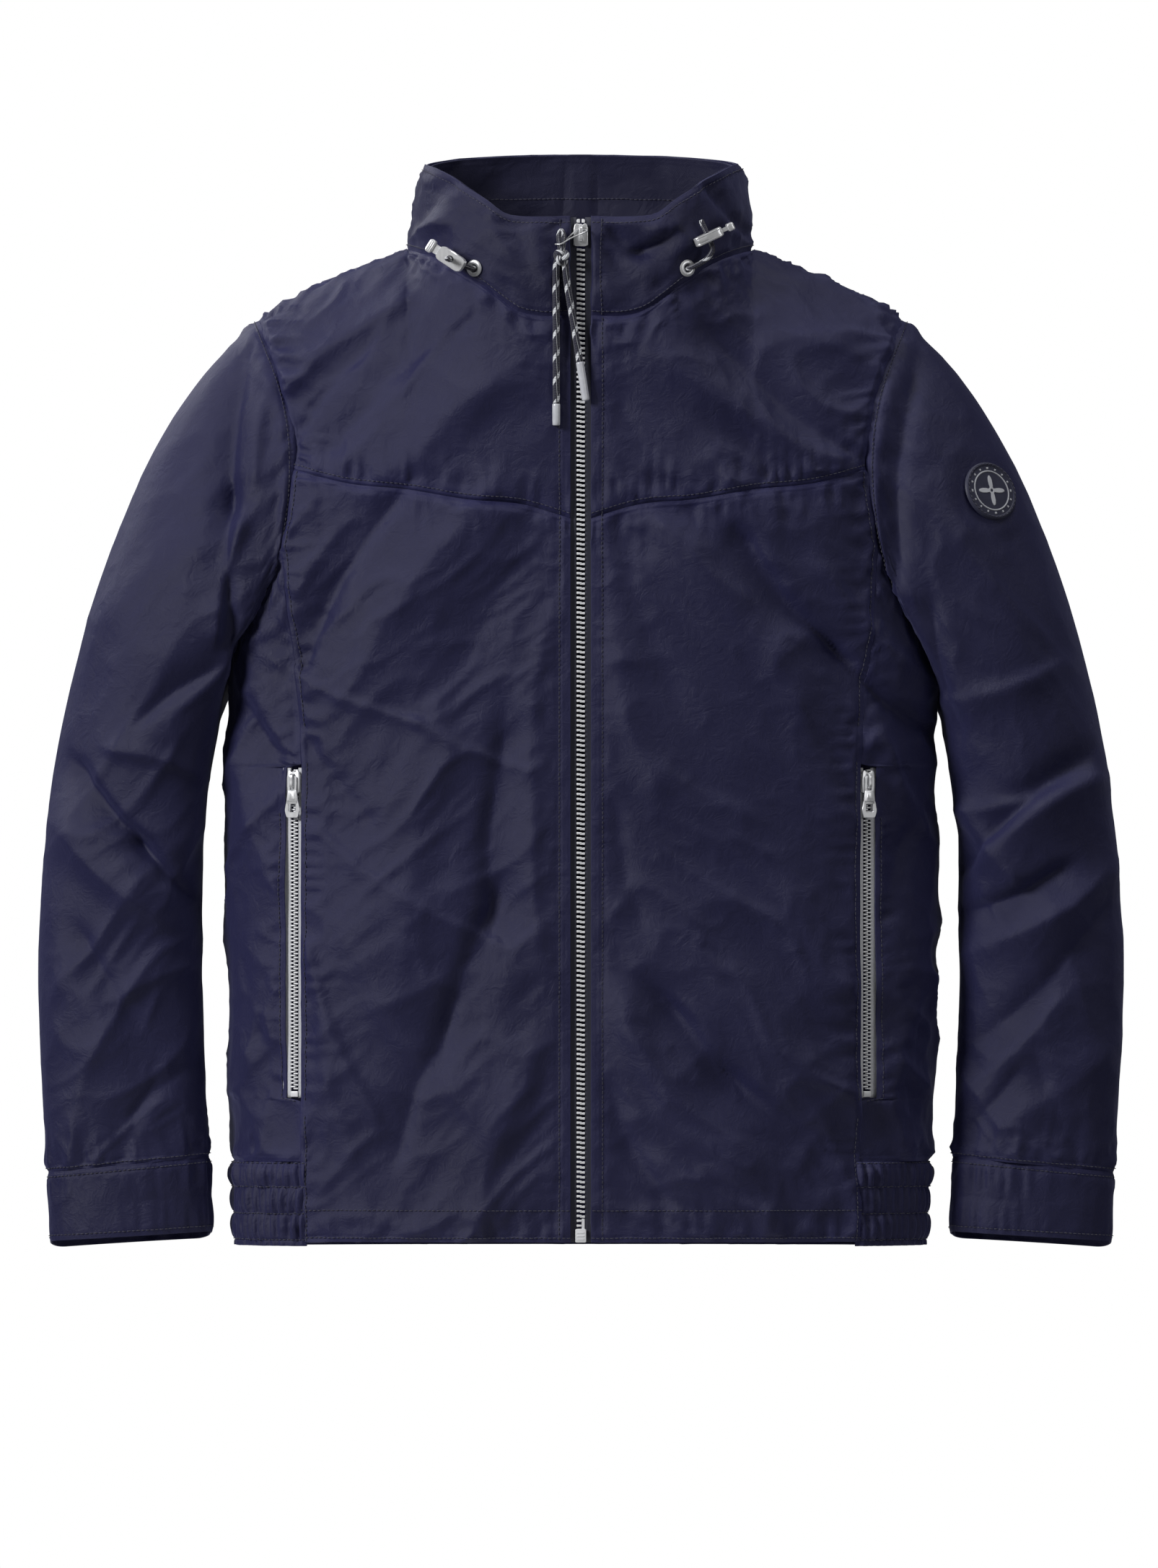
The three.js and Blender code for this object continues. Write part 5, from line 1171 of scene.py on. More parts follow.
def knot_path(middle, size, count=90):
    """An overhand knot: (sin t + 2 sin 2t, -sin 3t, cos t - 2 cos 2t), scaled to the size."""
    t = np.linspace(0, 2 * np.pi, count, endpoint=False)
    shape = np.stack([(np.sin(t) + 2 * np.sin(2 * t)) / 3, -np.sin(3 * t),
                      (np.cos(t) - 2 * np.cos(2 * t)) / 3], axis=1)
    return np.asarray(middle) + shape * np.asarray(size)


def make_pull_cords():
    """The zip's pull: a doubled cord through a wire ring, knotted, with two strands in clear sleeves."""
    body = "front_zip_pull"
    knot_middle = [-13.5, -107, 688.5]
    knot = capped_tube("pull_knot", knot_path(knot_middle, [3.6, 2.3, 3.9]), 2.35, CORD, closed=True,
                       body=body, slot="cord", instead_of=("pull_cord_knot",))
    neck = spline([[-13.5, -107, 690], [-14.6, -107.6, 697], [-15.2, -106.6, 703], [-13.5, -105.4, 706.5],
                   [-11.9, -106.4, 703], [-12.3, -107.4, 697], [-13.5, -107, 690]], 50)
    turn = capped_tube("pull_cord_turn", neck, 1.75, CORD, body=body, slot="cord")
    routes = {
        "long": ([[-16.2, -106, 686], [-17, -105.3, 681], [-17.2, -103.6, 668], [-17, -103.2, 630],
                  [-17, -103.2, 586.7]],
                 15, "fitting"),
        "short": ([[-11.2, -106, 686], [-10.6, -105.3, 681], [-9.2, -103.8, 668], [-4.6, -103.4, 640],
                   [-0.7, -103.4, 615.7]], 27, "fitting"),
    }
    for label, (route, sleeve_length, far_end) in routes.items():
        path = spline(route, 60)
        strand = capped_tube(f"{label}_pull_strand", path, 2.4, CORD, body=body, slot="cord",
                             instead_of=(f"pull_cord_{label}",))
        way = unit(path[-1] - path[-3])
        s = np.array([0, 0, 0.4, 1.2, 2.5, sleeve_length - 2.5, sleeve_length - 1.0, sleeve_length - 0.3,
                      sleeve_length])
        radius = np.array([2.0, 2.5, 2.75, 2.8, 2.78, 2.72, 2.68, 2.5, 2.1])
        spine = path[-1] + way * (s + 0.1 + np.arange(9) * 1e-3)[:, None]
        sleeve = capped_tube(f"{label}_cord_sleeve", spine, radius, CLEAR, 24, body=body,
                             slot="clear_sleeve", instead_of=(f"{label}_cord_aglet",))


LOCKS = {
    "right": {"middle": [-90, -98.5, 687], "plunger": [-0.818, 0.185, 0.545],
              "out": [-0.22045, -0.9754, 0.00022],
              "bends": [[-77.5, -95, 681.2], [-82.5, -93.3, 683.5], [-86.8, -90.9, 686]]},
    "left": {"middle": [88.5, -94, 702.5], "plunger": [0.9, 0.1, 0.42],
             "out": [-0.41173, -0.09918, 0.90589],
             "bends": [[78, -96, 681.8], [86.5, -96, 686.5], [91.2, -94.4, 693]]},
}
EYELET, EYELET_OUT = np.array([73.6, -91.3, 680.9]), unit(np.array([0.475, -0.878, -0.055]))


def make_drawcords():
    """Each drawcord: out of its eyelet, up into its lock and a short free end beyond it, melted
    to a bead."""
    for label, sign in SIGNS.items():
        lock = LOCKS[label]
        out = EYELET_OUT * [sign, 1, 1]
        start = EYELET * [sign, 1, 1]
        middle, axis = np.array(lock["middle"], float), unit(np.array(lock["out"]))
        route = [start - 2 * out, start, start + 2 * out, *lock["bends"], middle - 4 * axis, middle,
                 middle + 6 * axis, middle + 13 * axis]
        path = spline(route, 70)
        radius = np.full(70, 1.75)
        radius[-3:] = [1.8, 1.7, 1.2]
        piece = capped_tube(f"{label}_drawcord_braid", path, radius, CORD, 14, slot="cord",
                            instead_of=(f"{label}_drawcord",))


def make_hanger_loop():
    """The hanger loop: a short braid from seam to seam behind the neck."""
    path = spline([[-24, 44, 703], [-24, 40, 703], [-17, 39, 708], [0, 37, 712], [17, 39, 708],
                   [24, 40, 703], [24, 44, 703]], 50)
    piece = capped_tube("hanger_loop_braid", path, 1.48, LOOP, 14, slot="cord", instead_of=("hanger_loop",))


# ------------------------------------------------------------------ plates and turned pieces

def plate(outline, low, high, soften):
    """An outline in local X and Z carried from low to high, its edges rounded by quarter circles.

    Each layer is drawn in by soften (1 - sin a) and lies soften (1 - cos a) in from its face."""
    shape = np.asarray(outline, float)
    ahead = np.roll(shape, -1, axis=0) - np.roll(shape, 1, axis=0)
    inwards = unit(np.stack([-ahead[:, 1], ahead[:, 0]], axis=1))
    area = 0.5 * np.sum(shape[:, 0] * np.roll(shape[:, 1], -1) - np.roll(shape[:, 0], -1) * shape[:, 1])
    inwards = inwards * np.sign(area)
    turn = np.linspace(0, np.pi / 2, 4)
    drawn = soften * (1 - np.sin(turn))
    depth = soften * (1 - np.cos(turn))
    draw = np.concatenate([drawn, drawn[::-1]])
    at = np.concatenate([low + depth, high - depth[::-1]])
    flat = shape[None] + inwards[None] * draw[:, None, None]
    points = np.stack([flat[..., 0], np.broadcast_to(at[:, None], flat.shape[:2]), flat[..., 1]], axis=-1)
    count = len(shape)
    faces = quads(8, count, wrap_columns=True).tolist()
    faces.append(list(range(count))[::-1])
    faces.append(list(range(7 * count, 8 * count)))
    if area < 0:
        faces = [f[::-1] for f in faces]
    return points.reshape(-1, 3), faces


def resampled(corners, count):
    """A closed outline through corners, at count equal steps of its length."""
    p = np.array([*corners, corners[0]], float)
    run = np.concatenate([[0], np.cumsum(np.linalg.norm(np.diff(p, axis=0), axis=1))])
    at = np.linspace(0, run[-1], count, endpoint=False)
    return np.stack([np.interp(at, run, p[:, k]) for k in (0, 1)], axis=1)


def rounded(corners, radius, count=8):
    """A closed outline whose corners are arcs of the radius, each a quadratic curve through
    count points."""
    p = np.array(corners, float)
    before, after = np.roll(p, 1, axis=0), np.roll(p, -1, axis=0)
    reach = np.minimum(radius, 0.45 * np.minimum(np.linalg.norm(before - p, axis=1),
                                                 np.linalg.norm(after - p, axis=1)))
    start = p + unit(before - p) * reach[:, None]
    end = p + unit(after - p) * reach[:, None]
    t = np.linspace(0, 1, count)[None, :, None]
    arc = (1 - t) ** 2 * start[:, None] + 2 * t * (1 - t) * p[:, None] + t**2 * end[:, None]
    return arc.reshape(-1, 2)


def framed_plate(outer, inner, low, high, soften=0.25, count=64):
    """A plate with a window: a rounded rectangle section carried round between the inner and
    outer outlines."""
    a, b = resampled(outer, count), resampled(inner, count)
    shift = np.argmin(np.linalg.norm(b - a[0], axis=1))
    b = np.roll(b, -shift, axis=0)
    section = np.array([[0, 1], [0, 0.5], [0, 0], [0.5, 0], [1, 0], [1, 0.5], [1, 1], [0.5, 1]], float)
    pull = {0: (1, -1), 2: (1, 1), 4: (-1, 1), 6: (-1, -1)}
    rows = []
    for k, (across, deep) in enumerate(section):
        ring_line = mix(a, b, across)
        depth = mix(low, high, deep)
        if k in pull:
            step_in, step_deep = pull[k]
            way = unit(b - a)
            rows.append((ring_line, depth + step_deep * soften))
            rows.append((ring_line + way * soften * step_in, depth))
        else:
            rows.append((ring_line, depth))
    order = [1, 0, 2, 3, 4, 5, 7, 6, 8, 9, 10, 11]
    rows = [rows[k] for k in order]
    points = [np.stack([flat[:, 0], np.full(count, deep), flat[:, 1]], axis=-1) for flat, deep in rows]
    points = np.stack(points)
    return points.reshape(-1, 3), quads(12, count, wrap_rows=True, wrap_columns=True).tolist()


def joined(parts):
    """Several (points, faces) pairs as one."""
    points, faces, count = [], [], 0
    for some, polys in parts:
        points.append(np.asarray(some, float))
        faces += [[int(i) + count for i in poly] for poly in polys]
        count += len(some)
    return np.concatenate(points), faces


def turned_out(points, faces):
    """Turns the whole shape round if its volume comes out negative."""
    p = np.asarray(points, float)
    p = p - p.mean(axis=0)
    volume = 0.0
    for poly in faces:
        for i in range(1, len(poly) - 1):
            volume += float(p[poly[0]] @ np.cross(p[poly[i]], p[poly[i + 1]]))
    return [poly[::-1] for poly in faces] if volume < 0 else faces


def part(points, faces):
    """A shape with its faces turned outwards."""
    return points, turned_out(points, faces)


def moved(shape, offset=(0, 0, 0), axes=None):
    """Points put on axes (rows are where local X, Y, Z go) and moved by the offset."""
    points, faces = shape
    if axes is not None:
        points = points @ np.asarray(axes)
    return points + np.asarray(offset, float), faces


def lathe(profile, turns=32):
    """A closed profile of (radius, height) carried round the Y axis."""
    p = np.array(profile, float)
    angle = np.arange(turns) * 2 * np.pi / turns
    points = np.stack([p[:, None, 0] * np.cos(angle), np.broadcast_to(p[:, None, 1], (len(p), turns)),
                       p[:, None, 0] * np.sin(angle)], axis=-1)
    return points.reshape(-1, 3), quads(len(p), turns, wrap_rows=True, wrap_columns=True).tolist()


def hard_piece(name, shape, material, crisp=40, **more):
    """A hard piece from a shape, with crisp corners."""
    piece = put(name, shape[0], shape[1], material, **more)
    crease_hard_edges(piece, crisp)
    return piece


# ------------------------------------------------------------------ zips

def tooth_shape(width, half_height, head):
    """One moulded tooth: a stem with a wider head, rounded. It reaches from X = -head to X = width."""
    outline = rounded([[-head, -half_height * 0.8], [0.3, -half_height * 0.72], [width, -half_height],
                       [width, half_height], [0.3, half_height * 0.72], [-head, half_height * 0.8]],
                      radius=0.35, count=2)
    return outline


def teeth_row(depths, low, high, pitch, sign, offset, width=2.3, half_height=0.92):
    """Teeth at equal pitch between two heights on one side of the centre line."""
    points, faces = part(*plate(tooth_shape(width, half_height, 1.25), depths[0], depths[1], 0.28))
    points = points + [0.6, 0, 0]
    if sign < 0:
        points = points * [-1, 1, 1]
        faces = [f[::-1] for f in faces]
    at = np.arange(low + half_height + offset, high - half_height, pitch)
    shapes = [(points + [0, 0, z], faces) for z in at]
    return joined(shapes)


def frame_of(sign, slope, middle):
    """A zip's local axes as rows (X, depth, Z) and its origin, for pockets turned to the cloth's slope."""
    x_way = unit(np.array([1.0, sign * slope, 0]))
    deep = np.array([-x_way[1], x_way[0], 0])
    return np.array([x_way, deep, [0, 0, 1.0]]), np.array(middle, float)


FRONT_FRAME = (np.eye(3), np.array([0, -100.0, 0]))


def zip_tape_cloth(name, node_name, frame_axes, x0, x1, low, high, deep, material, slot):
    """A strip of tape with a thicker beaded edge beside the teeth, UV in metres."""
    axes, origin = frame_axes
    across, up = np.meshgrid(np.linspace(0, 1, 8), np.linspace(low, high, 90))
    x = mix(x0, x1, across)
    bead = 0.35 * np.exp(-((np.abs(x) - min(abs(x0), abs(x1))) / 0.7) ** 2)
    front = np.stack([x, deep[0] - bead, up], axis=-1) @ axes + origin
    back = np.stack([x, deep[1] + bead, up], axis=-1) @ axes + origin
    rows, columns = 90, 8
    count = rows * columns
    face = quads(rows, columns)
    index = np.arange(count).reshape(rows, columns)
    faces = [face, face[:, ::-1] + count]
    for edge in (index[0][::-1], index[-1], index[:, 0], index[::-1, -1]):
        faces.append(np.stack([edge[:-1], edge[1:], edge[1:] + count, edge[:-1] + count], axis=-1))
    uv = np.stack([x, up], axis=-1).reshape(-1, 2) / 1000
    points = np.concatenate([front.reshape(-1, 3), back.reshape(-1, 3)])
    flat = np.concatenate(faces)
    return put(name, points, turned_out(points, flat.tolist()), material, uv=np.tile(uv, (2, 1)), slot=slot,
               instead_of=(node_name,))


def slider_parts(teeth, half=5.0, long=8.0):
    """The slider's two shouldered plates, its side flanges and its arched bail; local axes."""
    front, back = teeth[0] - 0.3, teeth[1] + 0.3
    crown = rounded([[-half + 0.6, -long], [half - 0.6, -long], [half, -long + 4.5], [half, long - 5.5],
                     [half - 0.6, long - 1], [2.6, long], [0.9, long - 1.8], [-0.9, long - 1.8],
                     [-2.6, long], [-half + 0.6, long - 1], [-half, long - 5.5], [-half, -long + 4.5]],
                    radius=1.1, count=6)
    parts = [part(*plate(crown, front - 1.4, front, 0.45)), part(*plate(crown, back, back + 1.4, 0.45))]
    rib = rounded([[-1.1, -long + 1.6], [1.1, -long + 1.6], [1.5, long - 5], [-1.5, long - 5]], 0.8, 5)
    parts.append(part(*plate(rib, front - 1.75, front - 1.2, 0.3)))
    flange = rounded([[-half, -long + 0.6], [-half + 0.8, -long + 0.6], [-half + 0.8, long - 3],
                      [-half, long - 3]], 0.25, 3)
    for sign in (1, -1):
        side_flange = flange * [sign, 1]
        parts.append(part(*plate(side_flange, front - 0.5, front + 0.75, 0.12)))
        parts.append(part(*plate(side_flange, back - 0.75, back + 0.5, 0.12)))
    bail = front - 1.4 - 2.2
    arch = spline([[0, front - 0.9, -4.4], [0, bail + 0.6, -4.5], [0, bail - 0.7, -3.2],
                   [0, bail - 0.8, 0.4], [0, bail - 0.7, 3.8], [0, bail + 0.6, 5.0],
                   [0, front - 0.9, 5.0]], 34)
    section = rounded([[-1.2, -0.62], [1.2, -0.62], [1.2, 0.62], [-1.2, 0.62]], 0.4, 4)
    along = unit(np.gradient(arch, axis=0))
    out = np.stack([0 * along[:, 0], -along[:, 2], along[:, 1]], axis=1)
    points = arch[:, None] + section[None, :, :1] * np.array([1.0, 0, 0])
    points = points + section[None, :, 1:] * out[:, None]
    count = len(section)
    faces = quads(34, count, wrap_columns=True).tolist()
    faces += [list(range(count))[::-1], list(range(33 * count, 34 * count))]
    parts.append(part(points.reshape(-1, 3), faces))
    return joined(parts)


def make_front_zip():
    """The front zip: moulded teeth on navy tape, top stops, retainer box, slider and wire ring."""
    teeth = (1.7, 4.5)
    axes, origin = FRONT_FRAME
    for label, sign in SIGNS.items():
        zip_tape_cloth(f"{label}_zip_tape_knit", f"{label}_zip_tape", FRONT_FRAME, sign * 3.0,
                       sign * 14.2, 5.5, 716, (2.8, 3.4), TAPE, "zip_tape")
        low = 22.3 if sign > 0 else 15.3
        row = moved(teeth_row(teeth, low, 711.8, 3.4, sign, 0.2 if sign > 0 else 0.9), origin)
        hard_piece(f"{label}_teeth_row", row, TEETH, slot="zip_teeth", instead_of=(f"{label}_zip_teeth",))
        stop = rounded([[sign * 0.6, 712.3], [sign * 2.9, 712.3], [sign * 2.9, 714.2], [sign * 2.2, 714.8],
                        [sign * 0.6, 714.8]], 0.4, 4)
        shape = moved(part(*plate(stop, teeth[0], teeth[1], 0.3)), origin)
        hard_piece(f"{label}_top_stop", shape, TEETH, slot="zip_teeth",
                   instead_of=(f"{label}_zip_top_stop",))
    box_line = rounded([[-3.75, 5.5], [3.75, 5.5], [3.75, 14], [3.0, 15], [-3.0, 15], [-3.75, 14]], 0.9, 6)
    parts = [part(*plate(box_line, 0.7, 1.6, 0.35)), part(*plate(box_line, 4.6, 5.3, 0.3))]
    for x0, x1 in [(-3.75, -3.0), (3.0, 3.75), (-0.3, 0.3)]:
        wall = rounded([[x0, 5.8], [x1, 5.8], [x1, 14.6], [x0, 14.6]], 0.2, 3)
        parts.append(part(*plate(wall, 1.3, 2.3 if abs(x0) > 1 else 4.8, 0.1)))
    ridge = rounded([[-2.4, 7.2], [2.4, 7.2], [2.4, 8.1], [-2.4, 8.1]], 0.35, 4)
    for step in (0, 2.3, 4.6):
        parts.append(part(*plate(ridge + [0, step], 0.45, 0.9, 0.15)))
    hard_piece("retainer_box", moved(joined(parts), origin), TEETH, slot="zip_teeth",
               instead_of=("zip_retainer_box",))
    slider = moved(slider_parts(teeth), origin + [0, 0, 704])
    hard_piece("front_slider", slider, METAL, body="front_zip_slider", slot="metal",
               instead_of=("zip_slider",))
    bar_y, bar_z = -101.1, 707.2
    loop = [[2.6, bar_y, bar_z], [0, bar_y, bar_z], [-2.6, bar_y, bar_z], [-7.5, bar_y - 1.6, bar_z - 4.2],
            [-12.5, -103.3, 697.8], [-16.7, -104.6, 697.3], [-17.4, -108.6, 697.1], [-13.4, -110.8, 697.4],
            [-7, -109.4, bar_z - 6], [0, -107.6, bar_z - 3], [4.4, bar_y - 2.6, bar_z - 0.8]]
    wide = spline([*loop[-3:], *loop, *loop[:3]], 220)
    first = np.argmin(np.linalg.norm(wide[:60] - loop[0], axis=1))
    last = 110 + np.argmin(np.linalg.norm(wide[110:] - loop[0], axis=1))
    capped_tube("pull_wire_ring", wide[first:last], 0.5, METAL, 10, closed=True, body="front_zip_pull",
                slot="metal", instead_of=("zip_pull_ring",))


def pull_tab():
    """A flat pull: a frame round the bail's slot, a waisted plate, and a flared end with a window."""
    low = 0.6 - 29
    top = framed_plate(rounded([[-3.4, -10], [3.4, -10], [3.4, 0.6], [-3.4, 0.6]], 1.6, 6),
                       rounded([[-1.7, -9.2], [1.7, -9.2], [1.7, -0.7], [-1.7, -0.7]], 0.8, 6), -0.6, 0.6)
    waist = part(*plate(rounded([[-3.4, -9.4], [3.4, -9.4], [4.6, low + 9.6], [-4.6, low + 9.6]], 0.3, 3),
                        -0.6, 0.6, 0.25))
    end = framed_plate(rounded([[-4.4, low + 12.2], [4.4, low + 12.2], [5.8, low + 5], [4.3, low],
                                [-4.3, low], [-5.8, low + 5]], 1.4, 6),
                       rounded([[-2.7, low + 10.5], [2.7, low + 10.5], [2.7, low + 4], [-2.7, low + 4]],
                               0.8, 6), -0.6, 0.6)
    rib = part(*plate(rounded([[-1.4, -11], [1.4, -11], [2.2, low + 12.5], [-2.2, low + 12.5]], 0.6, 4),
                      -0.95, -0.5, 0.2))
    return joined([part(*top), waist, part(*end), rib])


def make_pocket_zips():
    """Pocket zips with pale teeth and tape, a moulded end block, a slider and a flared pull."""
    teeth = (2.2, 5.0)
    for label, sign in SIGNS.items():
        axes, origin = frame_of(sign, 0.5006, [sign * 200, -71.38, 0])
        for which, way in [("front", -sign), ("side", sign)]:
            zip_tape_cloth(f"{label}_pocket_{which}_tape_knit", f"{label}_pocket_{which}_tape",
                           (axes, origin),
                           way * 3.0, way * 9.1, 105.5, 334.5, (3.3, 3.9), PALE_TAPE, "pocket_tape")
        rows = [teeth_row(teeth, 111, 333.5, 2.6, 1, 0.2, 2.3, 0.6),
                teeth_row(teeth, 111, 333.5, 2.6, -1, 1.5, 2.3, 0.6)]
        block = part(*plate(rounded([[-2.9, 106], [2.9, 106], [2.9, 110], [-2.9, 110]], 0.7, 5), 2.0, 5.0,
                            0.4))
        chain = moved(joined([*rows, block]), origin, axes)
        hard_piece(f"{label}_pocket_teeth", chain, TEETH, slot="zip_teeth",
                   instead_of=(f"{label}_pocket_zip_chain",))
        slider = moved(moved(slider_parts(teeth), [0, 0, 325]), origin, axes)
        hard_piece(f"{label}_pocket_slider_body", slider, METAL, body=f"{label}_pocket_slider",
                   slot="metal", instead_of=(f"{label}_pocket_slider",))
        pull = moved(moved(pull_tab(), [0, 2.2 - 0.3 - 1.4 - 1.1, 328.2]), origin, axes)
        hard_piece(f"{label}_pocket_tab", pull, METAL, body=f"{label}_pocket_pull", slot="metal",
                   instead_of=(f"{label}_pocket_pull",))


# ------------------------------------------------------------------ cord locks, eyelets, badge

def make_locks():
    """Cord locks: a rounded body framed round the cord's hole, and a plunger with a ribbed head."""
    for label in SIGNS:
        lock = LOCKS[label]
        x_way = unit(np.array(lock["plunger"], float))
        y_way = unit(np.array(lock["out"], float))
        y_way = unit(y_way - x_way * (x_way @ y_way))
        axes = np.array([x_way, y_way, np.cross(x_way, y_way)])
        middle = np.array(lock["middle"], float)
        angle = np.arange(32) * 2 * np.pi / 32
        hole = np.stack([2.2 * np.cos(angle), 2.2 * np.sin(angle)], axis=1)
        body_line = rounded([[-10.5, -5.25], [10.5, -5.25], [10.5, 5.25], [-10.5, 5.25]], 4.2, 9)
        face = framed_plate(body_line, hole, -3, -1.5, 0.4, 72)
        back = framed_plate(body_line, hole, 1.5, 3, 0.4, 72)
        inner_line = rounded([[-8.4, -3.4], [10.6, -3.4], [10.6, 3.4], [-8.4, 3.4]], 1.0, 5)
        wall = framed_plate(body_line, inner_line, -1.6, 1.6, 0.1, 72)
        bead = part(*framed_plate(body_line * 0.93, body_line * 0.78, -3.25, -2.8, 0.15, 72))
        rim = lathe([[2.2, -3.0], [3.0, -3.45], [3.6, -3.0], [2.9, -2.6]], 28)
        body = joined([part(*face), part(*back), part(*wall), bead, part(*rim)])
        hard_piece(f"{label}_lock_case", moved(body, middle, axes), METAL, body=f"{label}_lock",
                   slot="metal", instead_of=(f"{label}_lock_body",))
        start = 10.5 + 3.5 + 0.3
        head_line = rounded([[start, -4.75], [start + 5, -4.75], [start + 5, 4.75], [start, 4.75]], 1.9, 8)
        parts = [part(*plate(head_line, -2.5, 2.5, 0.6))]
        for step in (1.2, 2.5, 3.8):
            rib = rounded([[start + step - 0.3, -3.6], [start + step + 0.3, -3.6],
                           [start + step + 0.3, 3.6], [start + step - 0.3, 3.6]], 0.25, 3)
            parts.append(part(*plate(rib, -2.75, 2.75, 0.15)))
        blade = framed_plate(rounded([[-2.5, -3.2], [start + 1, -3.2], [start + 1, 3.2], [-2.5, 3.2]],
                                     0.4, 4),
                             rounded([[-2.2, -2.2], [5.7, -2.2], [5.7, 2.2], [-2.2, 2.2]], 0.6, 4), -1.2,
                             1.2, 0.15, 64)
        parts.append(part(*blade))
        hard_piece(f"{label}_lock_button", moved(joined(parts), middle, axes), METAL,
                   body=f"{label}_lock_plunger", slot="metal", instead_of=(f"{label}_lock_plunger",))
    for label, sign in SIGNS.items():
        out = EYELET_OUT * [sign, 1, 1]
        x_way = unit(np.cross(out, [0, 0, 1.0]))
        axes = np.array([x_way, out, np.cross(x_way, out)])
        profile = [[2.5, -2], [3.4, -2], [3.4, 0.5], [5.4, 0.5], [5.9, 0.75], [5.8, 1.1], [5.0, 1.55],
                   [4.0, 1.75], [3.1, 1.6], [2.6, 1.1]]
        shape = moved(part(*lathe(profile, 40)), EYELET * [sign, 1, 1], axes)
        hard_piece(f"{label}_eyelet_ring", shape, METAL, slot="metal", instead_of=(f"{label}_eyelet",))


def make_badge(sleeve):
    """Round rubber patch: a dome with a raised rim, a ring of ticks and a four-pointed star,
    grid of (radius, turn)."""
    middle = np.mean([placed_back(c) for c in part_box("left_sleeve_badge")], axis=0)
    close = np.linalg.norm(sleeve.outer - middle, axis=-1) < 21
    out = unit(sleeve.normal[close].mean(axis=0))
    middle = middle + out * (np.percentile((sleeve.outer[close] - middle) @ out, 97) + 0.6)
    across = unit(np.cross([0, 0, 1.0], out))
    axes = np.array([across, np.cross(out, across), out])
    radius, turn = np.meshgrid(np.linspace(0, 21, 85), np.arange(180) * np.pi / 90, indexing="ij")
    rim = smoothstep((radius - 18.2) / 0.7) * smoothstep((20.6 - radius) / 0.5)
    ring_mask = smoothstep((radius - 13.6) / 0.35) * smoothstep((14.9 - radius) / 0.35)
    spoke = np.abs(np.cos(2 * turn)) ** 5
    reach = 2.6 + 8.6 * spoke
    star = smoothstep((reach - radius) / 0.5)
    tick = smoothstep((np.cos(16 * turn) - 0.75) / 0.12)
    tick *= smoothstep((radius - 15.6) / 0.3) * smoothstep((17.3 - radius) / 0.3)
    raised = np.clip(ring_mask + star * (radius > 1.2) + tick, 0, 1)
    height = 1.0 + 0.5 * rim + 0.4 * raised + 0.3 * (1 - (radius / 21) ** 2)
    height[-1] = 0.6
    local = np.stack([radius * np.cos(turn), radius * np.sin(turn), height], axis=-1)
    back = local[-1:] * [1, 1, 0] + [0, 0, -1.0]
    grid = np.concatenate([local, back])
    points = grid.reshape(-1, 3)
    count = 180
    faces = quads(86, count, wrap_columns=True).tolist()
    faces = [f for f in faces if min(f) >= count]
    faces += [[0, count + (k + 1) % count, count + k][::-1] for k in range(count)]
    faces.append(list(range(85 * count, 86 * count))[::-1])
    used = points @ axes + middle
    used[1:count] = used[0]
    paint = np.concatenate([raised, np.zeros((1, count))])
    mesh_points, mesh_faces = used, turned_out(used, faces)
    put("sleeve_badge_patch", mesh_points, mesh_faces, BADGE, seam=paint.ravel(), slot="badge_rubber",
        instead_of=("left_sleeve_badge",))
    stitch_ring = middle + (np.stack([19.4 * np.cos(turn[0]), 19.4 * np.sin(turn[0]), 0 * turn[0] + 1.55],
                                     axis=-1) @ axes)
    closed = np.concatenate([stitch_ring, stitch_ring[:1]])
    stitch(closed, np.broadcast_to(out, closed.shape), 2.2, 3.2)


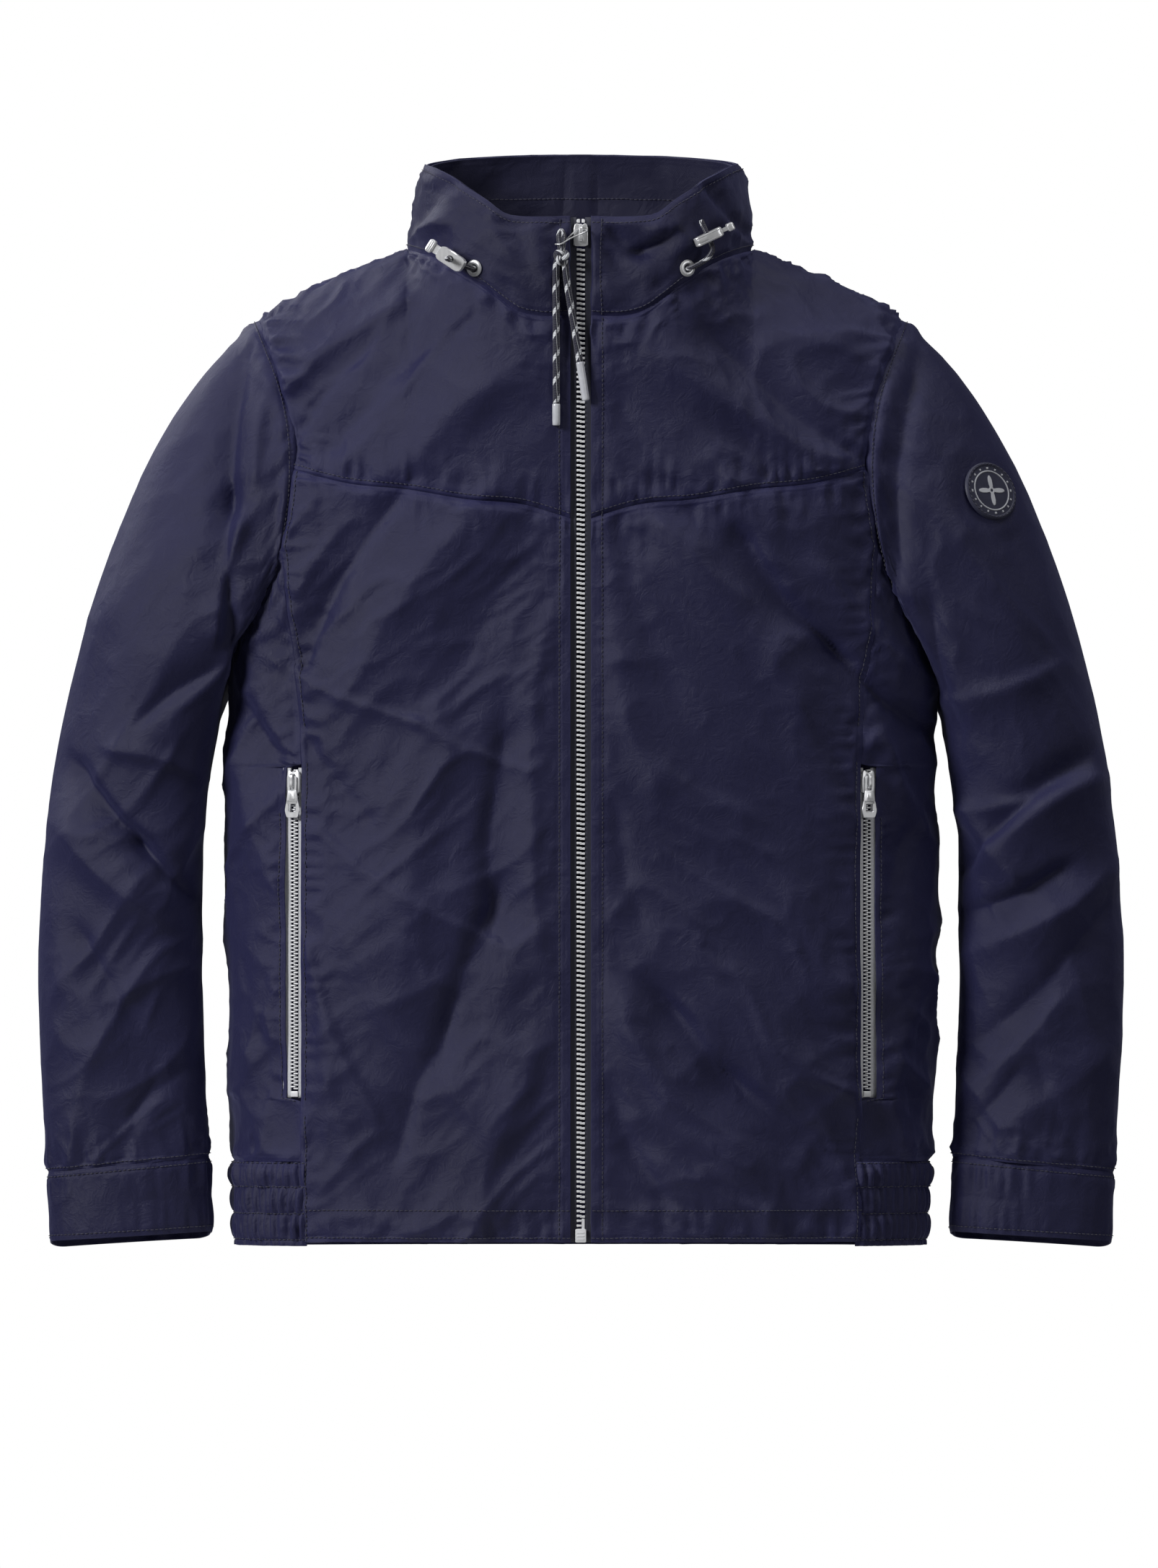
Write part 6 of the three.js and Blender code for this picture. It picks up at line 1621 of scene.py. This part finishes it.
def badge_material():
    """Matt rubber, navy with pale grey where the relief stands up, fine grain and rubbed clouds."""
    material, tree, shader, _, place = new_material("badge_rubber", Specular_IOR_Level=0.4)
    raised = node(tree, "ShaderNodeAttribute", {"attribute_name": "seam"}).outputs["Fac"]
    wear = use_group(tree, WEAR, Vector=place, Scale=900.0)
    navy = blend_colours(tree, wear.outputs["Mask"], (0.018, 0.019, 0.042, 1), (0.04, 0.042, 0.075, 1))
    pale = blend_colours(tree, wear.outputs["Mask"], (0.42, 0.43, 0.47, 1), (0.6, 0.61, 0.65, 1))
    tree.links.new(blend_colours(tree, raised, navy, pale), shader.inputs["Base Color"])
    tree.links.new(calc(tree, "ADD", 0.45, calc(tree, "MULTIPLY", wear.outputs["Scratches"], 0.2)),
                   shader.inputs["Roughness"])
    relief = node(tree, "ShaderNodeBump", Strength=0.25, Distance=0.0002, Height=wear.outputs["Scratches"])
    tree.links.new(relief.outputs[0], shader.inputs["Normal"])
    return material


BADGE = badge_material()


def finish_frame_pieces():
    """Gives the CAD pieces that stay their own finishes."""
    for name, material in [("zip_insertion_pin", TEETH), ("left_lock_spring", METAL),
                           ("right_lock_spring", METAL)]:
        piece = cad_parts[name]
        for spot in piece.material_slots:
            spot.material = material
        if not piece.material_slots:
            piece.data.materials.append(material)


def make_floor():
    """A round pale floor well below the hem, dished a little at its rim: r from 0 to 0.6 m."""
    radius, turn = np.meshgrid(np.linspace(0.02, 600, 30), np.arange(96) * np.pi / 48, indexing="ij")
    z = -330 - 8 * smoothstep((radius - 560) / 40)
    points = np.stack([radius * np.cos(turn), radius * np.sin(turn) + 10, z], axis=-1)
    mesh = bpy.data.meshes.new("floor")
    faces = quads(30, 96, wrap_columns=True).tolist()
    faces.append(list(range(96)))
    mesh.from_pydata(placed(points.reshape(-1, 3)).tolist(), [], faces)
    mesh.materials.append(FLOOR)
    floor = bpy.data.objects.new("floor", mesh)
    bpy.context.collection.objects.link(floor)


make_pull_cords()
make_drawcords()
make_hanger_loop()
make_body()
make_hem_elastics()
left_sleeve = make_sleeves()
make_collar()
make_linings()
make_front_zip()
make_pocket_zips()
make_locks()
make_badge(left_sleeve)
make_stitches()
finish_frame_pieces()
make_floor()
